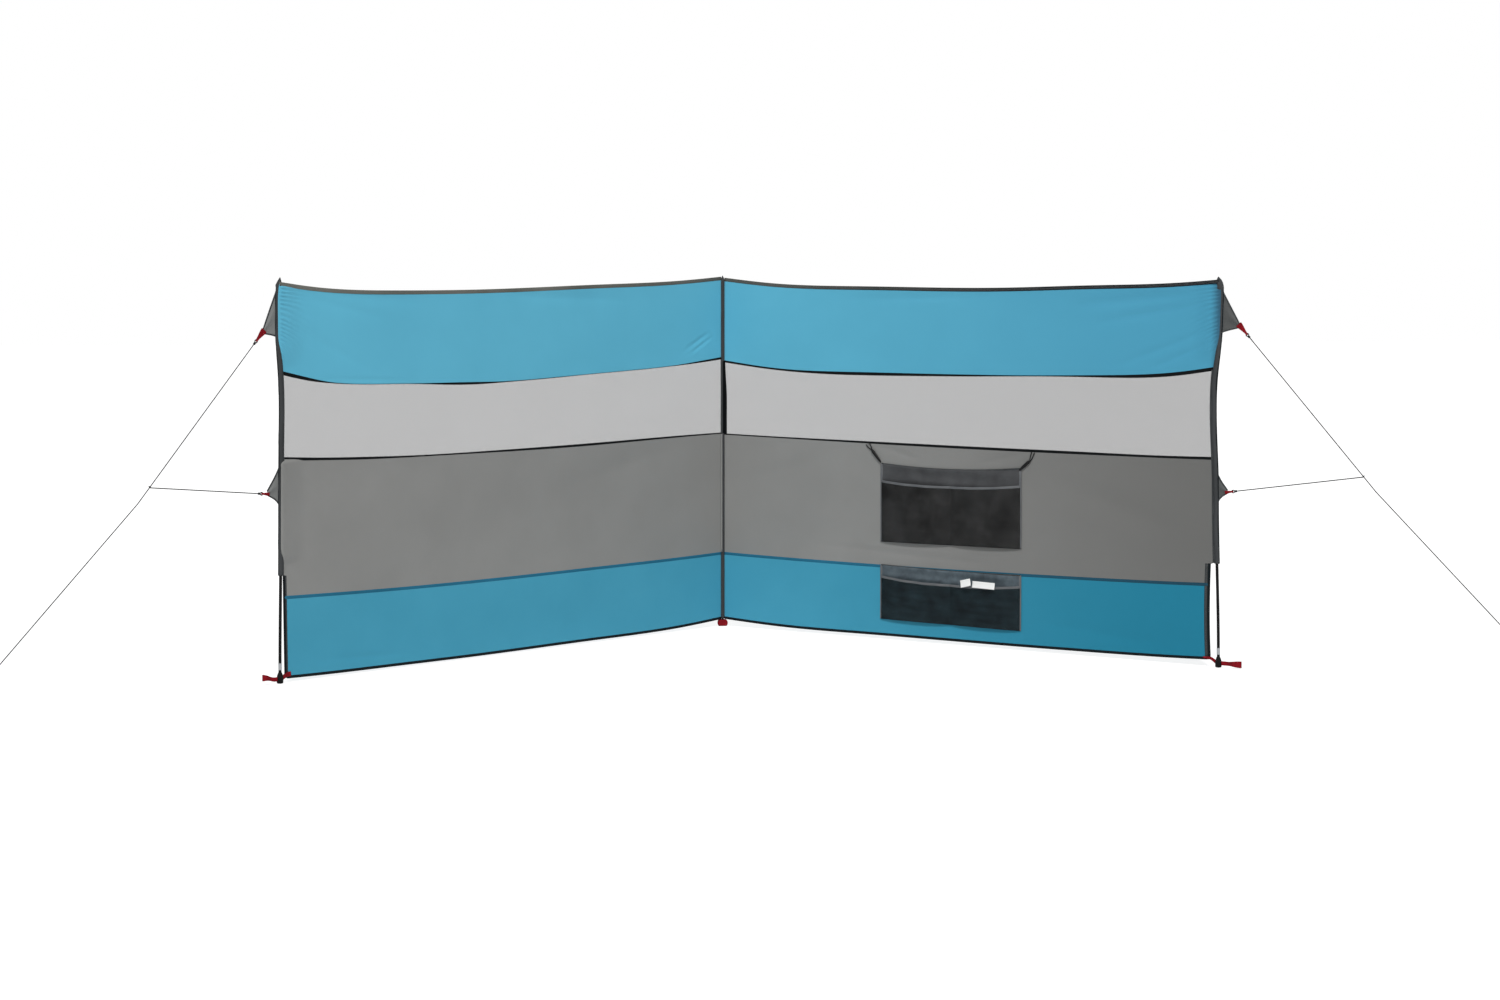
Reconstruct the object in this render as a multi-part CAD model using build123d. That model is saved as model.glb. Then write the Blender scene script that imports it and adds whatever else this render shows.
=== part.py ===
"""Beach windbreak of two cloth wings on three fibreglass poles, standing in a V.

All sizes are in millimetres, +Z is up. The origin is on the ground under the middle pole.
The wings open towards -Y, the sheltered side, and the V is symmetric about the YZ plane
apart from the pockets, which hang on the right wing only.

Each wing is built in its own frame and then swung into place: X runs from the middle pole
to the end pole, Y points away from the sheltered side and Z is up.
"""

from build123d import *
import math
import os

# Overall layout
POLE_HEIGHT = 1500.0
WING_LENGTH = 2240.0
WING_ANGLE = 105.0
CLEAR = 0.3
SWING_CLEAR = 0.5

# Poles, from the ground up
ROD_DIAMETER = 10.0
CAP_DIAMETER = 14.0
CAP_TOE_DIAMETER = 11.0
CAP_TOE_HEIGHT = 8.0
CAP_SOLE = 5.0
CAP_HEIGHT = 50.0
CAP_COLLAR_DIAMETER = 17.0
CAP_COLLAR_HEIGHT = 9.0
MIDDLE_CAP_HEIGHT = 28.0
FERRULE_DIAMETER = 13.0
FERRULE_LENGTH = 25.0

# Pole sleeves
SLEEVE_DIAMETER = 18.0
SLEEVE_WALL = 2.0
SLEEVE_BOTTOM = 398.0
SLEEVE_POINT = 28.0
SLEEVE_POINT_WIDTH = 6.0

# Cloth, tapes and webbing
CLOTH = 2.0
TAPE = 3.2
WEBBING = 1.6
TOP_TAPE_HEIGHT = 14.0
SEAM_TAPE_HEIGHT = 9.0
SKIRT_SEAM_HEIGHT = 4.0
BINDING_WIDTH = 8.0
EDGE_SETBACK_HIGH = 16.0
EDGE_SETBACK_LOW = 37.0

# Heights of each line across a wing, at these shares of its length from the middle pole.
# The top line is given as drops below the poles' heads.
STATIONS = (0.0, 0.11, 0.55, 0.87, 1.0)
TOP_DROPS = (14.0, 33.0, 56.0, 47.0, 25.0)
WINDOW_TOP_LINE = (1140.0, 1118.0, 1089.0, 1105.0, 1144.0)
WINDOW_BOTTOM_LINE = (825.0, 820.0, 808.0, 813.0, 817.0)
SKIRT_LINE = (312.0, 307.0, 302.0, 311.0, 315.0)
HEM_LINE = (24.0, 20.0, 17.0, 22.0, 27.0)

# Webbing sling under the middle pole
SLING_WIDTH = 45.0
SLING_HEIGHT = 33.0
SLING_FOLD_RADIUS = 2.6

# Foot straps of the end poles: heights are those of the webbing's middle
STRAP_WIDTH = 20.0
STRAP_TAIL = 40.0
STRAP_TAIL_HEIGHT = 36.0
STRAP_FOOT_HEIGHT = 17.0
PEG_LOOP_HEIGHT = 20.0
PEG_LOOP_WIDTH = 26.0
PEG_LOOP_REACH = 93.0
PEG_LOOP_GAP = 12.0
PEG_LOOP_LENGTH = 48.0

# Guy flaps: where each meets the sleeve, and where its tip is. The upper flap's places are given
# as drops below the pole's head.
UPPER_FLAP_TOP_DROP = 48.0
UPPER_FLAP_BOTTOM_DROP = 219.0
UPPER_FLAP_TIP_DROP = 199.0
UPPER_FLAP_REACH = 85.0
LOWER_FLAP_TOP = 771.0
LOWER_FLAP_BOTTOM = 648.0
LOWER_FLAP_TIP = 689.0
LOWER_FLAP_REACH = 52.0
FLAP_HEM = 5.0
FLAP_FIELD = 1.0
FLAP_TIP_RADIUS = 6.0

# Webbing loop on each flap, measured from the flap's tip
LOOP_WIDTH = 12.0
LOOP_TAIL = 14.0
LOOP_NOSE = 10.0
LOOP_BORE = 4.8

# Guy lines
LINE_DIAMETER = 3.0
GUY_SLOPE = 49.0
JUNCTION_HEIGHT = 700.0
PEG_REACH = 1300.0
KNOT_DIAMETER = 6.5
KNOT_LENGTH = 9.0
BEND_RADIUS = 150.0
BRANCH_RISE = 75.0
BAR_SIDES = 8
RING_SIDES = 16

# Ground pegs, the part above the ground
PEG_DIAMETER = 6.0
PEG_LEAN = 15.0
PEG_SHANK = 34.0
PEG_HOOK_RADIUS = 8.0
PEG_HOOK_TURN = 140.0
PEG_HOOK_END = 8.0
PEG_EYE_HEIGHT = 15.0

# Pockets on the right wing
POCKET_START = 770.0
POCKET_END = 1400.0
POCKET_DIVIDER = 1088.0
POCKET_WALL = 1.2
POCKET_DEPTH = 26.0
POCKET_TOE_DEPTH = 9.0
POCKET_SAG = 15.0
LOWER_POCKET_TOP_SAG = 4.0
UPPER_POCKET_TOP = 727.0
UPPER_POCKET_MOUTH = 655.0
UPPER_POCKET_BOTTOM = 405.0
LOWER_POCKET_TOP = 297.0
LOWER_POCKET_MOUTH = 255.0
LOWER_POCKET_BOTTOM = 82.0
CLIP_TOE_WIDTH = 6.0
CLIP_SHOULDER_WIDTH = 11.0
CLIP_THICKNESS = 6.0
CLIP_SHARE = 0.6
HOOK_SPREAD = 50.0
HOOK_RISE = 64.0
HOOK_LOOP_WIDTH = 17.0
HOOK_CORD = 2.6
TAG_CORNER = 2.0
TAG_SIZE = (102.0, 26.0)
TAG_PLACE = (1252.0, 257.0)
SMALL_TAG_SIZE = (46.0, 29.0)
SMALL_TAG_PLACE = (1174.0, 262.0)
SMALL_TAG_TILT = 14.0

# Radii and edges that follow from the sizes above
ROD_RADIUS = ROD_DIAMETER / 2
CAP_RADIUS = CAP_DIAMETER / 2
SLEEVE_RADIUS = SLEEVE_DIAMETER / 2
SLEEVE_BORE = SLEEVE_RADIUS - SLEEVE_WALL
LINE_RADIUS = LINE_DIAMETER / 2
BRANCH_GRIP = LINE_DIAMETER + CLEAR
PEG_RADIUS = PEG_DIAMETER / 2
TOP_LINE = tuple(POLE_HEIGHT - drop for drop in TOP_DROPS)
UPPER_FLAP_TOP = POLE_HEIGHT - UPPER_FLAP_TOP_DROP
UPPER_FLAP_BOTTOM = POLE_HEIGHT - UPPER_FLAP_BOTTOM_DROP
UPPER_FLAP_TIP = POLE_HEIGHT - UPPER_FLAP_TIP_DROP
OUTER_EDGE = WING_LENGTH - SLEEVE_RADIUS - CLEAR
SLEEVE_SHOULDER = POLE_HEIGHT - SLEEVE_POINT
SWING = WING_ANGLE / 2 - 90.0
SLING_CORNER = math.hypot(SLING_WIDTH / 2, CAP_RADIUS + CLEAR + WEBBING)


def turned(points):
    """A solid of revolution about Z from (radius, height) points."""
    return revolve(Plane.XZ * make_face(Polyline(*points, close=True)), axis=Axis.Z)


def upright(outline, thickness):
    """A flat panel standing in the wing's plane, with half its thickness on each side."""
    return extrude(Plane.XZ * outline, amount=thickness / 2, both=True)


def facing(outline, front, thickness):
    """A flat panel parallel to the wing, its outer face at Y = front, on the sheltered side."""
    return Pos(0, front, 0) * extrude(Plane.XZ * outline, amount=thickness)


def bar_section(radius):
    """The section of a cord or thin bar, drawn with flat sides."""
    return RegularPolygon(radius=radius, side_count=BAR_SIDES)


def cord_ring(radius):
    """A ring of cord about Z, drawn with flat sides. Its path starts half way along one side."""
    corners = [
        (radius * math.cos(turn), radius * math.sin(turn))
        for turn in (2 * math.pi * (side + 0.5) / RING_SIDES for side in range(RING_SIDES))
    ]
    start = (radius * math.cos(math.pi / RING_SIDES), 0)
    path = Polyline(start, *corners, start)
    section = Plane(origin=path @ 0, z_dir=path % 0) * bar_section(LINE_RADIUS)
    return sweep(section, path=path, transition=Transition.RIGHT)


def wing_line(heights, shift=0.0):
    """A sagging line across the wing, raised or lowered by shift."""
    return Spline(*[(share * WING_LENGTH, z + shift) for share, z in zip(STATIONS, heights)])


def strip(low, low_shift, high, high_shift):
    """The outline between two sagging lines across the whole wing."""
    below = wing_line(low, low_shift)
    above = wing_line(high, high_shift)
    return make_face([below, above, Line(below @ 0, above @ 0), Line(below @ 1, above @ 1)])


def tape_strip(heights, height):
    """The outline of a tape centred on a sagging line."""
    return strip(heights, -height / 2, heights, height / 2)


def slanted_edge(setback, height):
    """Where the bound outer edge below the sleeve lies at a height."""
    share = 1.0 - height / SLEEVE_BOTTOM
    return WING_LENGTH - EDGE_SETBACK_HIGH - share * (EDGE_SETBACK_LOW - EDGE_SETBACK_HIGH) - setback


def cloth_limits(inner_edge, setback):
    """The outline that all cloth of a wing stays inside, with a step where the sleeve ends."""
    head = POLE_HEIGHT
    sling_edge = SLING_CORNER + SWING_CLEAR
    sling_top = SLING_HEIGHT + SWING_CLEAR
    points = [
        (inner_edge, sling_top),
        (inner_edge, head),
        (OUTER_EDGE, head),
        (OUTER_EDGE, SLEEVE_BOTTOM),
        (slanted_edge(setback, SLEEVE_BOTTOM), SLEEVE_BOTTOM),
        (slanted_edge(setback, 0.0), 0.0),
        (sling_edge, 0.0),
        (sling_edge, sling_top),
    ]
    return make_face(Polyline(*points, close=True))


def wing_cloth(inner_edge):
    """The bands of cloth of one wing and the tapes that join and bind them."""
    inside = cloth_limits(inner_edge, BINDING_WIDTH + CLEAR)
    whole = cloth_limits(inner_edge, 0.0)
    top = TOP_TAPE_HEIGHT / 2 + CLEAR
    seam = SEAM_TAPE_HEIGHT / 2 + CLEAR
    skirt = SKIRT_SEAM_HEIGHT / 2 + CLEAR
    hem = BINDING_WIDTH / 2 + CLEAR
    outlines = {
        "top_band": strip(WINDOW_TOP_LINE, seam, TOP_LINE, -top),
        "window": strip(WINDOW_BOTTOM_LINE, seam, WINDOW_TOP_LINE, -seam),
        "middle_band": strip(SKIRT_LINE, skirt, WINDOW_BOTTOM_LINE, -seam),
        "skirt_band": strip(HEM_LINE, hem, SKIRT_LINE, -skirt),
    }
    pieces = {name: upright(outline & inside, CLOTH) for name, outline in outlines.items()}
    pieces["top_tape"] = upright(tape_strip(TOP_LINE, TOP_TAPE_HEIGHT) & whole, TAPE)
    seams = [
        tape_strip(WINDOW_TOP_LINE, SEAM_TAPE_HEIGHT),
        tape_strip(WINDOW_BOTTOM_LINE, SEAM_TAPE_HEIGHT),
        tape_strip(SKIRT_LINE, SKIRT_SEAM_HEIGHT),
    ]
    pieces["seam_tapes"] = Compound(children=[upright(line & inside, TAPE) for line in seams])
    pieces["edge_binding"] = upright(binding_outline(whole), TAPE)
    return pieces


def binding_outline(whole):
    """The hem tape and the tape up the free outer edge, in one piece round the corner."""
    top = SLEEVE_BOTTOM - CLEAR
    edge = make_face(
        Polyline(
            (slanted_edge(0.0, top), top),
            (slanted_edge(BINDING_WIDTH, top), top),
            (slanted_edge(BINDING_WIDTH, HEM_LINE[-1]), HEM_LINE[-1]),
            (slanted_edge(0.0, HEM_LINE[-1]), HEM_LINE[-1]),
            close=True,
        )
    )
    return (tape_strip(HEM_LINE, BINDING_WIDTH) & whole) + edge


def sleeve(bottom):
    """The cloth tube round a pole, closed to a blunt point at its head."""
    tip = SLEEVE_POINT_WIDTH / 2
    taper = (SLEEVE_RADIUS - tip) / SLEEVE_POINT
    inner_head = POLE_HEIGHT - SLEEVE_WALL
    inner_tip = SLEEVE_BORE - taper * (inner_head - SLEEVE_SHOULDER)
    outside = [
        (0, bottom),
        (SLEEVE_RADIUS, bottom),
        (SLEEVE_RADIUS, SLEEVE_SHOULDER),
        (tip, POLE_HEIGHT),
        (0, POLE_HEIGHT),
    ]
    inside = [
        (0, bottom),
        (SLEEVE_BORE, bottom),
        (SLEEVE_BORE, SLEEVE_SHOULDER),
        (inner_tip, inner_head),
        (0, inner_head),
    ]
    return turned(outside) - turned(inside)


def rod(sole):
    """The fibreglass rod, from the foot cap's sole to its ground end inside the sleeve's point."""
    taper = (SLEEVE_RADIUS - SLEEVE_POINT_WIDTH / 2) / SLEEVE_POINT
    head = POLE_HEIGHT - SLEEVE_WALL - CLEAR
    shoulder = SLEEVE_SHOULDER + (SLEEVE_BORE - CLEAR - ROD_RADIUS) / taper - CLEAR
    tip = ROD_RADIUS - taper * (head - shoulder)
    return turned([(0, sole), (ROD_RADIUS, sole), (ROD_RADIUS, shoulder), (tip, head), (0, head)])


def foot_cap(ground, height, collar):
    """The moulded cap on a pole's foot: a tapered toe, a socket for the rod and a collar."""
    top = ground + height
    toe = CAP_TOE_DIAMETER / 2
    profile = [(0, ground), (toe, ground), (CAP_RADIUS, ground + CAP_TOE_HEIGHT)]
    if collar:
        lip = CAP_COLLAR_DIAMETER / 2
        under = top - CAP_COLLAR_HEIGHT
        profile += [(CAP_RADIUS, under), (lip, under + lip - CAP_RADIUS), (lip, top)]
    else:
        profile += [(CAP_RADIUS, top)]
    body = turned(profile + [(0, top)])
    socket = Pos(0, 0, ground + CAP_SOLE) * extrude(Circle(ROD_RADIUS + CLEAR), amount=height)
    return body - socket


def ferrule():
    """The light metal ferrule that sits on an end pole's foot cap."""
    ring = Circle(FERRULE_DIAMETER / 2) - Circle(ROD_RADIUS + CLEAR)
    return Pos(0, 0, CAP_HEIGHT) * extrude(ring, amount=FERRULE_LENGTH)


def middle_sling():
    """Wide webbing folded under the middle pole's foot and sewn to the sleeve's end."""
    inner = CAP_RADIUS + CLEAR
    outer = inner + WEBBING
    profile = Pos(0, SLING_HEIGHT / 2) * Rectangle(2 * outer, SLING_HEIGHT)
    profile = fillet(profile.vertices().group_by(Axis.Y)[0], radius=SLING_FOLD_RADIUS)
    hollow = Pos(0, WEBBING + SLING_HEIGHT / 2) * Rectangle(2 * inner, SLING_HEIGHT)
    hollow = fillet(hollow.vertices().group_by(Axis.Y)[0], radius=SLING_FOLD_RADIUS - WEBBING)
    return extrude(Plane.YZ * (profile - hollow), amount=SLING_WIDTH / 2, both=True)


def strap_side(tail_start, loop_end):
    """A foot strap from the side: down from the panel's corner to the foot, then flaring to the loop."""
    half = STRAP_WIDTH / 2
    flare = PEG_LOOP_WIDTH / 2
    cap = CAP_RADIUS + CLEAR + WEBBING
    middle = [
        (tail_start, STRAP_TAIL_HEIGHT, half),
        (WING_LENGTH - cap, STRAP_FOOT_HEIGHT, half),
        (WING_LENGTH + cap, STRAP_FOOT_HEIGHT, half),
        (loop_end, PEG_LOOP_HEIGHT, flare),
    ]
    upper = [(s, z + reach) for s, z, reach in middle]
    lower = [(s, z - reach) for s, z, reach in middle]
    return make_face(Polyline(*upper, *reversed(lower), close=True))


def foot_strap():
    """Webbing sewn over the panel's corner, round the foot cap and out to a loop for a peg."""
    inner = CAP_RADIUS + CLEAR
    outer = inner + WEBBING
    slot = TAPE / 2 + CLEAR
    tail_top = STRAP_TAIL_HEIGHT + STRAP_WIDTH / 2
    corner = slanted_edge(0.0, tail_top)
    tail_start = corner - STRAP_TAIL
    tail_length = WING_LENGTH - tail_start
    tail = Pos(WING_LENGTH - tail_length / 2, 0) * Rectangle(tail_length, 2 * (slot + WEBBING))
    tail_slot = Pos((tail_start + corner) / 2, 0) * Rectangle(STRAP_TAIL + 2 * CLEAR, 2 * slot)
    loop_end = WING_LENGTH + PEG_LOOP_REACH
    loop_radius = PEG_LOOP_GAP / 2 + WEBBING
    loop_start = loop_end - PEG_LOOP_LENGTH
    nose = Pos(loop_end - loop_radius, 0) * Circle(loop_radius)
    neck = Pos((WING_LENGTH + loop_start) / 2, 0) * Rectangle(loop_start - WING_LENGTH, 2 * WEBBING)
    throat = Pos(loop_start, 0) * Circle(WEBBING)
    loop = make_hull((nose + throat).edges())
    eye_nose = Pos(loop_end - loop_radius, 0) * Circle(PEG_LOOP_GAP / 2)
    eye_throat = Pos(loop_start + 2 * WEBBING, 0) * Circle(CLEAR)
    eye = make_hull((eye_nose + eye_throat).edges())
    ring = Pos(WING_LENGTH, 0) * Circle(outer)
    socket = Pos(WING_LENGTH, 0) * Circle(inner)
    plan = tail + ring + neck + loop - tail_slot - socket - eye
    return extrude(plan, amount=tail_top) & upright(strap_side(tail_start, loop_end), 4 * outer)


def guy_flap(top, bottom, tip, reach):
    """A hemmed cloth triangle on the sleeve's outer side, thicker along its hem."""
    base = WING_LENGTH + SLEEVE_RADIUS + CLEAR
    corners = [(base, top), (WING_LENGTH + reach, tip), (base, bottom)]
    outline = make_face(Polyline(*corners, close=True))
    outline = fillet(outline.vertices().sort_by(Axis.X)[-1], radius=FLAP_TIP_RADIUS)
    field = offset(outline, amount=-FLAP_HEM, kind=Kind.INTERSECTION)
    return upright(outline - field, CLOTH) + upright(field, FLAP_FIELD)


def tip_place(reach, tip, slope):
    """The place of a flap's tip, turned so that X runs outwards along the pull."""
    return Pos(WING_LENGTH + reach, 0, tip) * Rot(0, slope, 0)


def flap_loop(reach, tip, slope):
    """Webbing folded over a flap's tip, with a bore left beyond the tip for the guy line."""
    bore = LOOP_BORE / 2
    slot = CLOTH / 2 + CLEAR
    nose = Pos(LOOP_NOSE, 0)
    tail = Pos(-LOOP_TAIL, 0)
    outer = nose * Circle(bore + WEBBING) + tail * Rectangle(WEBBING, 2 * (slot + WEBBING))
    inner = nose * Circle(bore) + tail * Rectangle(2 * WEBBING, 2 * slot)
    folded = make_hull(outer.edges()) - make_hull(inner.edges())
    return tip_place(reach, tip, slope) * extrude(folded, amount=LOOP_WIDTH / 2, both=True)


def eye_radius():
    """The middle radius of a guy line's eye, just clear of the webbing it goes round."""
    return math.hypot(LOOP_WIDTH / 2, WEBBING / 2) + CLEAR + LINE_RADIUS


def eye_centre():
    """How far beyond a flap's tip the middle of the guy line's eye is."""
    return LOOP_NOSE + LOOP_BORE / 2 + WEBBING / 2


def line_eye(reach, tip, slope):
    """A guy line's eye through a flap's loop, with the knot that closes it."""
    ring = Pos(eye_centre(), 0, 0) * Rot(90, 0, 0) * cord_ring(eye_radius())
    knot = extrude(bar_section(KNOT_DIAMETER / 2), amount=KNOT_LENGTH)
    behind = Pos(eye_centre() + eye_radius() - LINE_RADIUS, 0, 0) * Rot(0, 90, 0)
    return tip_place(reach, tip, slope) * (ring + behind * knot)


def run_start(reach, tip, slope):
    """Where a guy line leaves its knot, in the wing's plane."""
    out = eye_centre() + eye_radius()
    return (
        WING_LENGTH + reach + out * math.cos(math.radians(slope)),
        tip - out * math.sin(math.radians(slope)),
    )


def junction():
    """Where the branch meets the main guy line, in the wing's plane."""
    start = run_start(UPPER_FLAP_REACH, UPPER_FLAP_TIP, GUY_SLOPE)
    drop = start[1] - JUNCTION_HEIGHT
    return (start[0] + drop / math.tan(math.radians(GUY_SLOPE)), JUNCTION_HEIGHT)


def peg_eye():
    """The middle of the eye round the peg's shank, in the wing's plane."""
    lean = math.radians(PEG_LEAN)
    return (WING_LENGTH + PEG_REACH + PEG_EYE_HEIGHT * math.tan(lean), PEG_EYE_HEIGHT)


def guy_line():
    """The taut main line from the upper flap to the peg, and the branch from the lower flap."""
    start = run_start(UPPER_FLAP_REACH, UPPER_FLAP_TIP, GUY_SLOPE)
    bend = junction()
    shank = peg_eye()
    fall = math.atan2(bend[1] - shank[1], shank[0] - bend[0])
    grip = PEG_RADIUS + CLEAR + LINE_RADIUS
    end = (shank[0] - grip * math.cos(fall), shank[1] + grip * math.sin(fall))
    path = Plane.XZ * FilletPolyline(start, bend, end, radius=BEND_RADIUS)
    section = Plane(origin=path @ 0, z_dir=path % 0) * bar_section(LINE_RADIUS)
    ring = Pos(shank[0], 0, shank[1]) * Rot(0, PEG_LEAN, 0) * cord_ring(grip)
    eye = line_eye(UPPER_FLAP_REACH, UPPER_FLAP_TIP, GUY_SLOPE)
    return Compound(children=[sweep(section, path=path) + eye + ring, guy_branch()])


def branch_hold():
    """The middle of the branch's ring round the main line, above its bend, in the wing's plane."""
    bend = junction()
    slope = math.radians(GUY_SLOPE)
    return (bend[0] - BRANCH_RISE * math.cos(slope), bend[1] + BRANCH_RISE * math.sin(slope))


def branch_end():
    """Where the branch meets its ring, on the side towards the wing."""
    hold = branch_hold()
    slope = math.radians(GUY_SLOPE)
    return (hold[0] - BRANCH_GRIP * math.sin(slope), hold[1] - BRANCH_GRIP * math.cos(slope))


def branch_fall():
    """How steeply the branch falls from the lower flap, in degrees."""
    end = branch_end()
    run = end[0] - WING_LENGTH - LOWER_FLAP_REACH
    return -math.degrees(math.atan2(end[1] - LOWER_FLAP_TIP, run))


def guy_branch():
    """The short line from the lower flap that loops round the main line above its bend."""
    fall = branch_fall()
    hold = branch_hold()
    start = run_start(LOWER_FLAP_REACH, LOWER_FLAP_TIP, fall)
    length = math.dist(start, branch_end())
    place = Pos(start[0], 0, start[1]) * Rot(0, fall + 90, 0)
    run = place * extrude(bar_section(LINE_RADIUS), amount=length)
    ring = Pos(hold[0], 0, hold[1]) * Rot(0, 90 + GUY_SLOPE, 0) * cord_ring(BRANCH_GRIP)
    return run + line_eye(LOWER_FLAP_REACH, LOWER_FLAP_TIP, fall) + ring


def peg():
    """The part of a steel peg above the ground: a leaning shank and a hook turned outwards."""
    buried = PEG_DIAMETER
    lean = math.radians(PEG_LEAN)
    foot = (-buried * math.sin(lean), -buried * math.cos(lean))
    neck = (PEG_SHANK * math.sin(lean), PEG_SHANK * math.cos(lean))
    shank = Line(foot, neck)
    hook = JernArc(start=neck, tangent=shank % 1, radius=PEG_HOOK_RADIUS, arc_size=-PEG_HOOK_TURN)
    barb = Line(hook @ 1, hook @ 1 + (hook % 1) * PEG_HOOK_END)
    path = Plane.XZ * (shank + hook + barb)
    section = Plane(origin=path @ 0, z_dir=path % 0) * bar_section(PEG_RADIUS)
    bar = sweep(section, path=path)
    ground = extrude(Rectangle(PEG_SHANK, PEG_SHANK), amount=-2 * buried)
    return Pos(WING_LENGTH + PEG_REACH, 0, 0) * (bar - ground)


def wing_rigging():
    """The foot strap, guy flaps, webbing loops, guy line and peg at a wing's outer end."""
    fall = branch_fall()
    loops = [
        flap_loop(UPPER_FLAP_REACH, UPPER_FLAP_TIP, GUY_SLOPE),
        flap_loop(LOWER_FLAP_REACH, LOWER_FLAP_TIP, fall),
    ]
    return {
        "foot_strap": foot_strap(),
        "upper_flap": guy_flap(UPPER_FLAP_TOP, UPPER_FLAP_BOTTOM, UPPER_FLAP_TIP, UPPER_FLAP_REACH),
        "lower_flap": guy_flap(LOWER_FLAP_TOP, LOWER_FLAP_BOTTOM, LOWER_FLAP_TIP, LOWER_FLAP_REACH),
        "flap_loops": Compound(children=loops),
        "guy_line": guy_line(),
        "peg": peg(),
    }


def end_pole():
    """The rod, foot cap, ferrule and sleeve at a wing's outer end."""
    place = Pos(WING_LENGTH, 0, 0)
    return {
        "pole": place * rod(CAP_SOLE),
        "foot_cap": place * foot_cap(0.0, CAP_HEIGHT, collar=True),
        "ferrule": place * ferrule(),
        "sleeve": place * sleeve(SLEEVE_BOTTOM),
    }


def lens(start, end, back, depth, height):
    """The plan of a bellied pocket front at a height, closed along its back."""
    middle = (start + end) / 2
    bow = ThreePointArc((start, back), (middle, back - depth), (end, back))
    return Pos(0, 0, height) * make_face([bow, Line((end, back), (start, back))])


def lens_inside(start, end, back, depth, height):
    """The same plan inside the pocket's wall."""
    half = (end - start) / 2
    radius = (half**2 + depth**2) / (2 * depth)
    inner_half = math.sqrt((radius - POCKET_WALL) ** 2 - (radius - depth) ** 2)
    middle = (start + end) / 2
    return lens(middle - inner_half, middle + inner_half, back, depth - POCKET_WALL, height)


def sagging_top(bottom, top, sag):
    """A pocket's outline with a top edge that sags between its corners."""
    middle = (POCKET_START + POCKET_END) / 2
    edge = ThreePointArc((POCKET_START, top), (middle, top - sag), (POCKET_END, top))
    ends = ((POCKET_END, top), (POCKET_END, bottom), (POCKET_START, bottom), (POCKET_START, top))
    return make_face([edge, Polyline(*ends)])


def pocket(bottom, mouth, top, top_sag):
    """A two-part mesh pocket: a flat back, and fronts that belly out more towards the mouth."""
    front = -CLOTH / 2 - CLEAR
    back = front - POCKET_WALL
    bag = facing(sagging_top(bottom, top, top_sag), front, POCKET_WALL)
    for start, end in ((POCKET_START, POCKET_DIVIDER), (POCKET_DIVIDER, POCKET_END)):
        foot = lens(start, end, back, POCKET_TOE_DEPTH, bottom)
        outer = loft([foot, lens(start, end, back, POCKET_DEPTH, mouth)])
        floor = bottom + POCKET_WALL
        share = POCKET_WALL / (mouth - bottom)
        toe = POCKET_TOE_DEPTH + share * (POCKET_DEPTH - POCKET_TOE_DEPTH)
        floor_inside = lens_inside(start, end, back, toe, floor)
        hollow = loft([floor_inside, lens_inside(start, end, back, POCKET_DEPTH, mouth)])
        bag += outer - hollow
    middle = (POCKET_START + POCKET_END) / 2
    lip = ThreePointArc((POCKET_START, mouth), (middle, mouth - POCKET_SAG), (POCKET_END, mouth))
    above = make_face([lip, Line((POCKET_END, mouth), (POCKET_START, mouth))])
    return bag - facing(above, back, 2 * POCKET_DEPTH)


def pocket_hook(corner, side):
    """A cord loop from the seam above, and the moulded clip that joins it to a pocket's top corner."""
    front = -CLOTH / 2 - CLEAR
    toe = CLIP_TOE_WIDTH / 2
    shoulder = CLIP_SHOULDER_WIDTH / 2
    foot = Pos(corner - side * toe, UPPER_POCKET_TOP + toe + CLEAR)
    neck = foot * Pos(-side * HOOK_SPREAD * CLIP_SHARE, HOOK_RISE * CLIP_SHARE)
    head = foot * Pos(-side * HOOK_SPREAD, HOOK_RISE)
    clip = make_hull((foot * Circle(toe) + neck * Circle(shoulder)).edges())
    bow = HOOK_LOOP_WIDTH / 2
    outside = make_hull((neck * Circle(toe) + head * Circle(bow)).edges())
    inside = make_hull((neck * Circle(toe - HOOK_CORD / 2) + head * Circle(bow - HOOK_CORD)).edges())
    return facing(clip, front, CLIP_THICKNESS) + facing(outside - inside, front, HOOK_CORD)


def tag(place, size, tilt):
    """A small blank tag hanging on the lower pocket's back strip."""
    front = -CLOTH / 2 - 2 * CLEAR - POCKET_WALL
    plate = fillet(Rectangle(*size).vertices(), radius=TAG_CORNER)
    return facing(Pos(*place) * Rot(0, 0, tilt) * plate, front, POCKET_WALL)


def pocket_set():
    """The two mesh pockets with the straps and tags on them, all on the right wing."""
    hooks = [pocket_hook(POCKET_START, 1), pocket_hook(POCKET_END, -1)]
    tags = [tag(TAG_PLACE, TAG_SIZE, 0.0), tag(SMALL_TAG_PLACE, SMALL_TAG_SIZE, SMALL_TAG_TILT)]
    upper = (UPPER_POCKET_BOTTOM, UPPER_POCKET_MOUTH, UPPER_POCKET_TOP)
    lower = (LOWER_POCKET_BOTTOM, LOWER_POCKET_MOUTH, LOWER_POCKET_TOP)
    return {
        "upper_pocket": pocket(*upper, POCKET_SAG),
        "lower_pocket": pocket(*lower, LOWER_POCKET_TOP_SAG),
        "pocket_straps": Compound(children=hooks),
        "pocket_tags": Compound(children=tags),
    }


def middle_pole():
    """The pole that both wings share, its sleeve, its short foot cap and the webbing sling."""
    sole = WEBBING + CAP_SOLE
    return {
        "pole_middle": rod(sole),
        "foot_cap_middle": foot_cap(WEBBING, MIDDLE_CAP_HEIGHT, collar=False),
        "foot_sling": middle_sling(),
        "sleeve_middle": sleeve(SLING_HEIGHT + CLEAR),
    }


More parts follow.
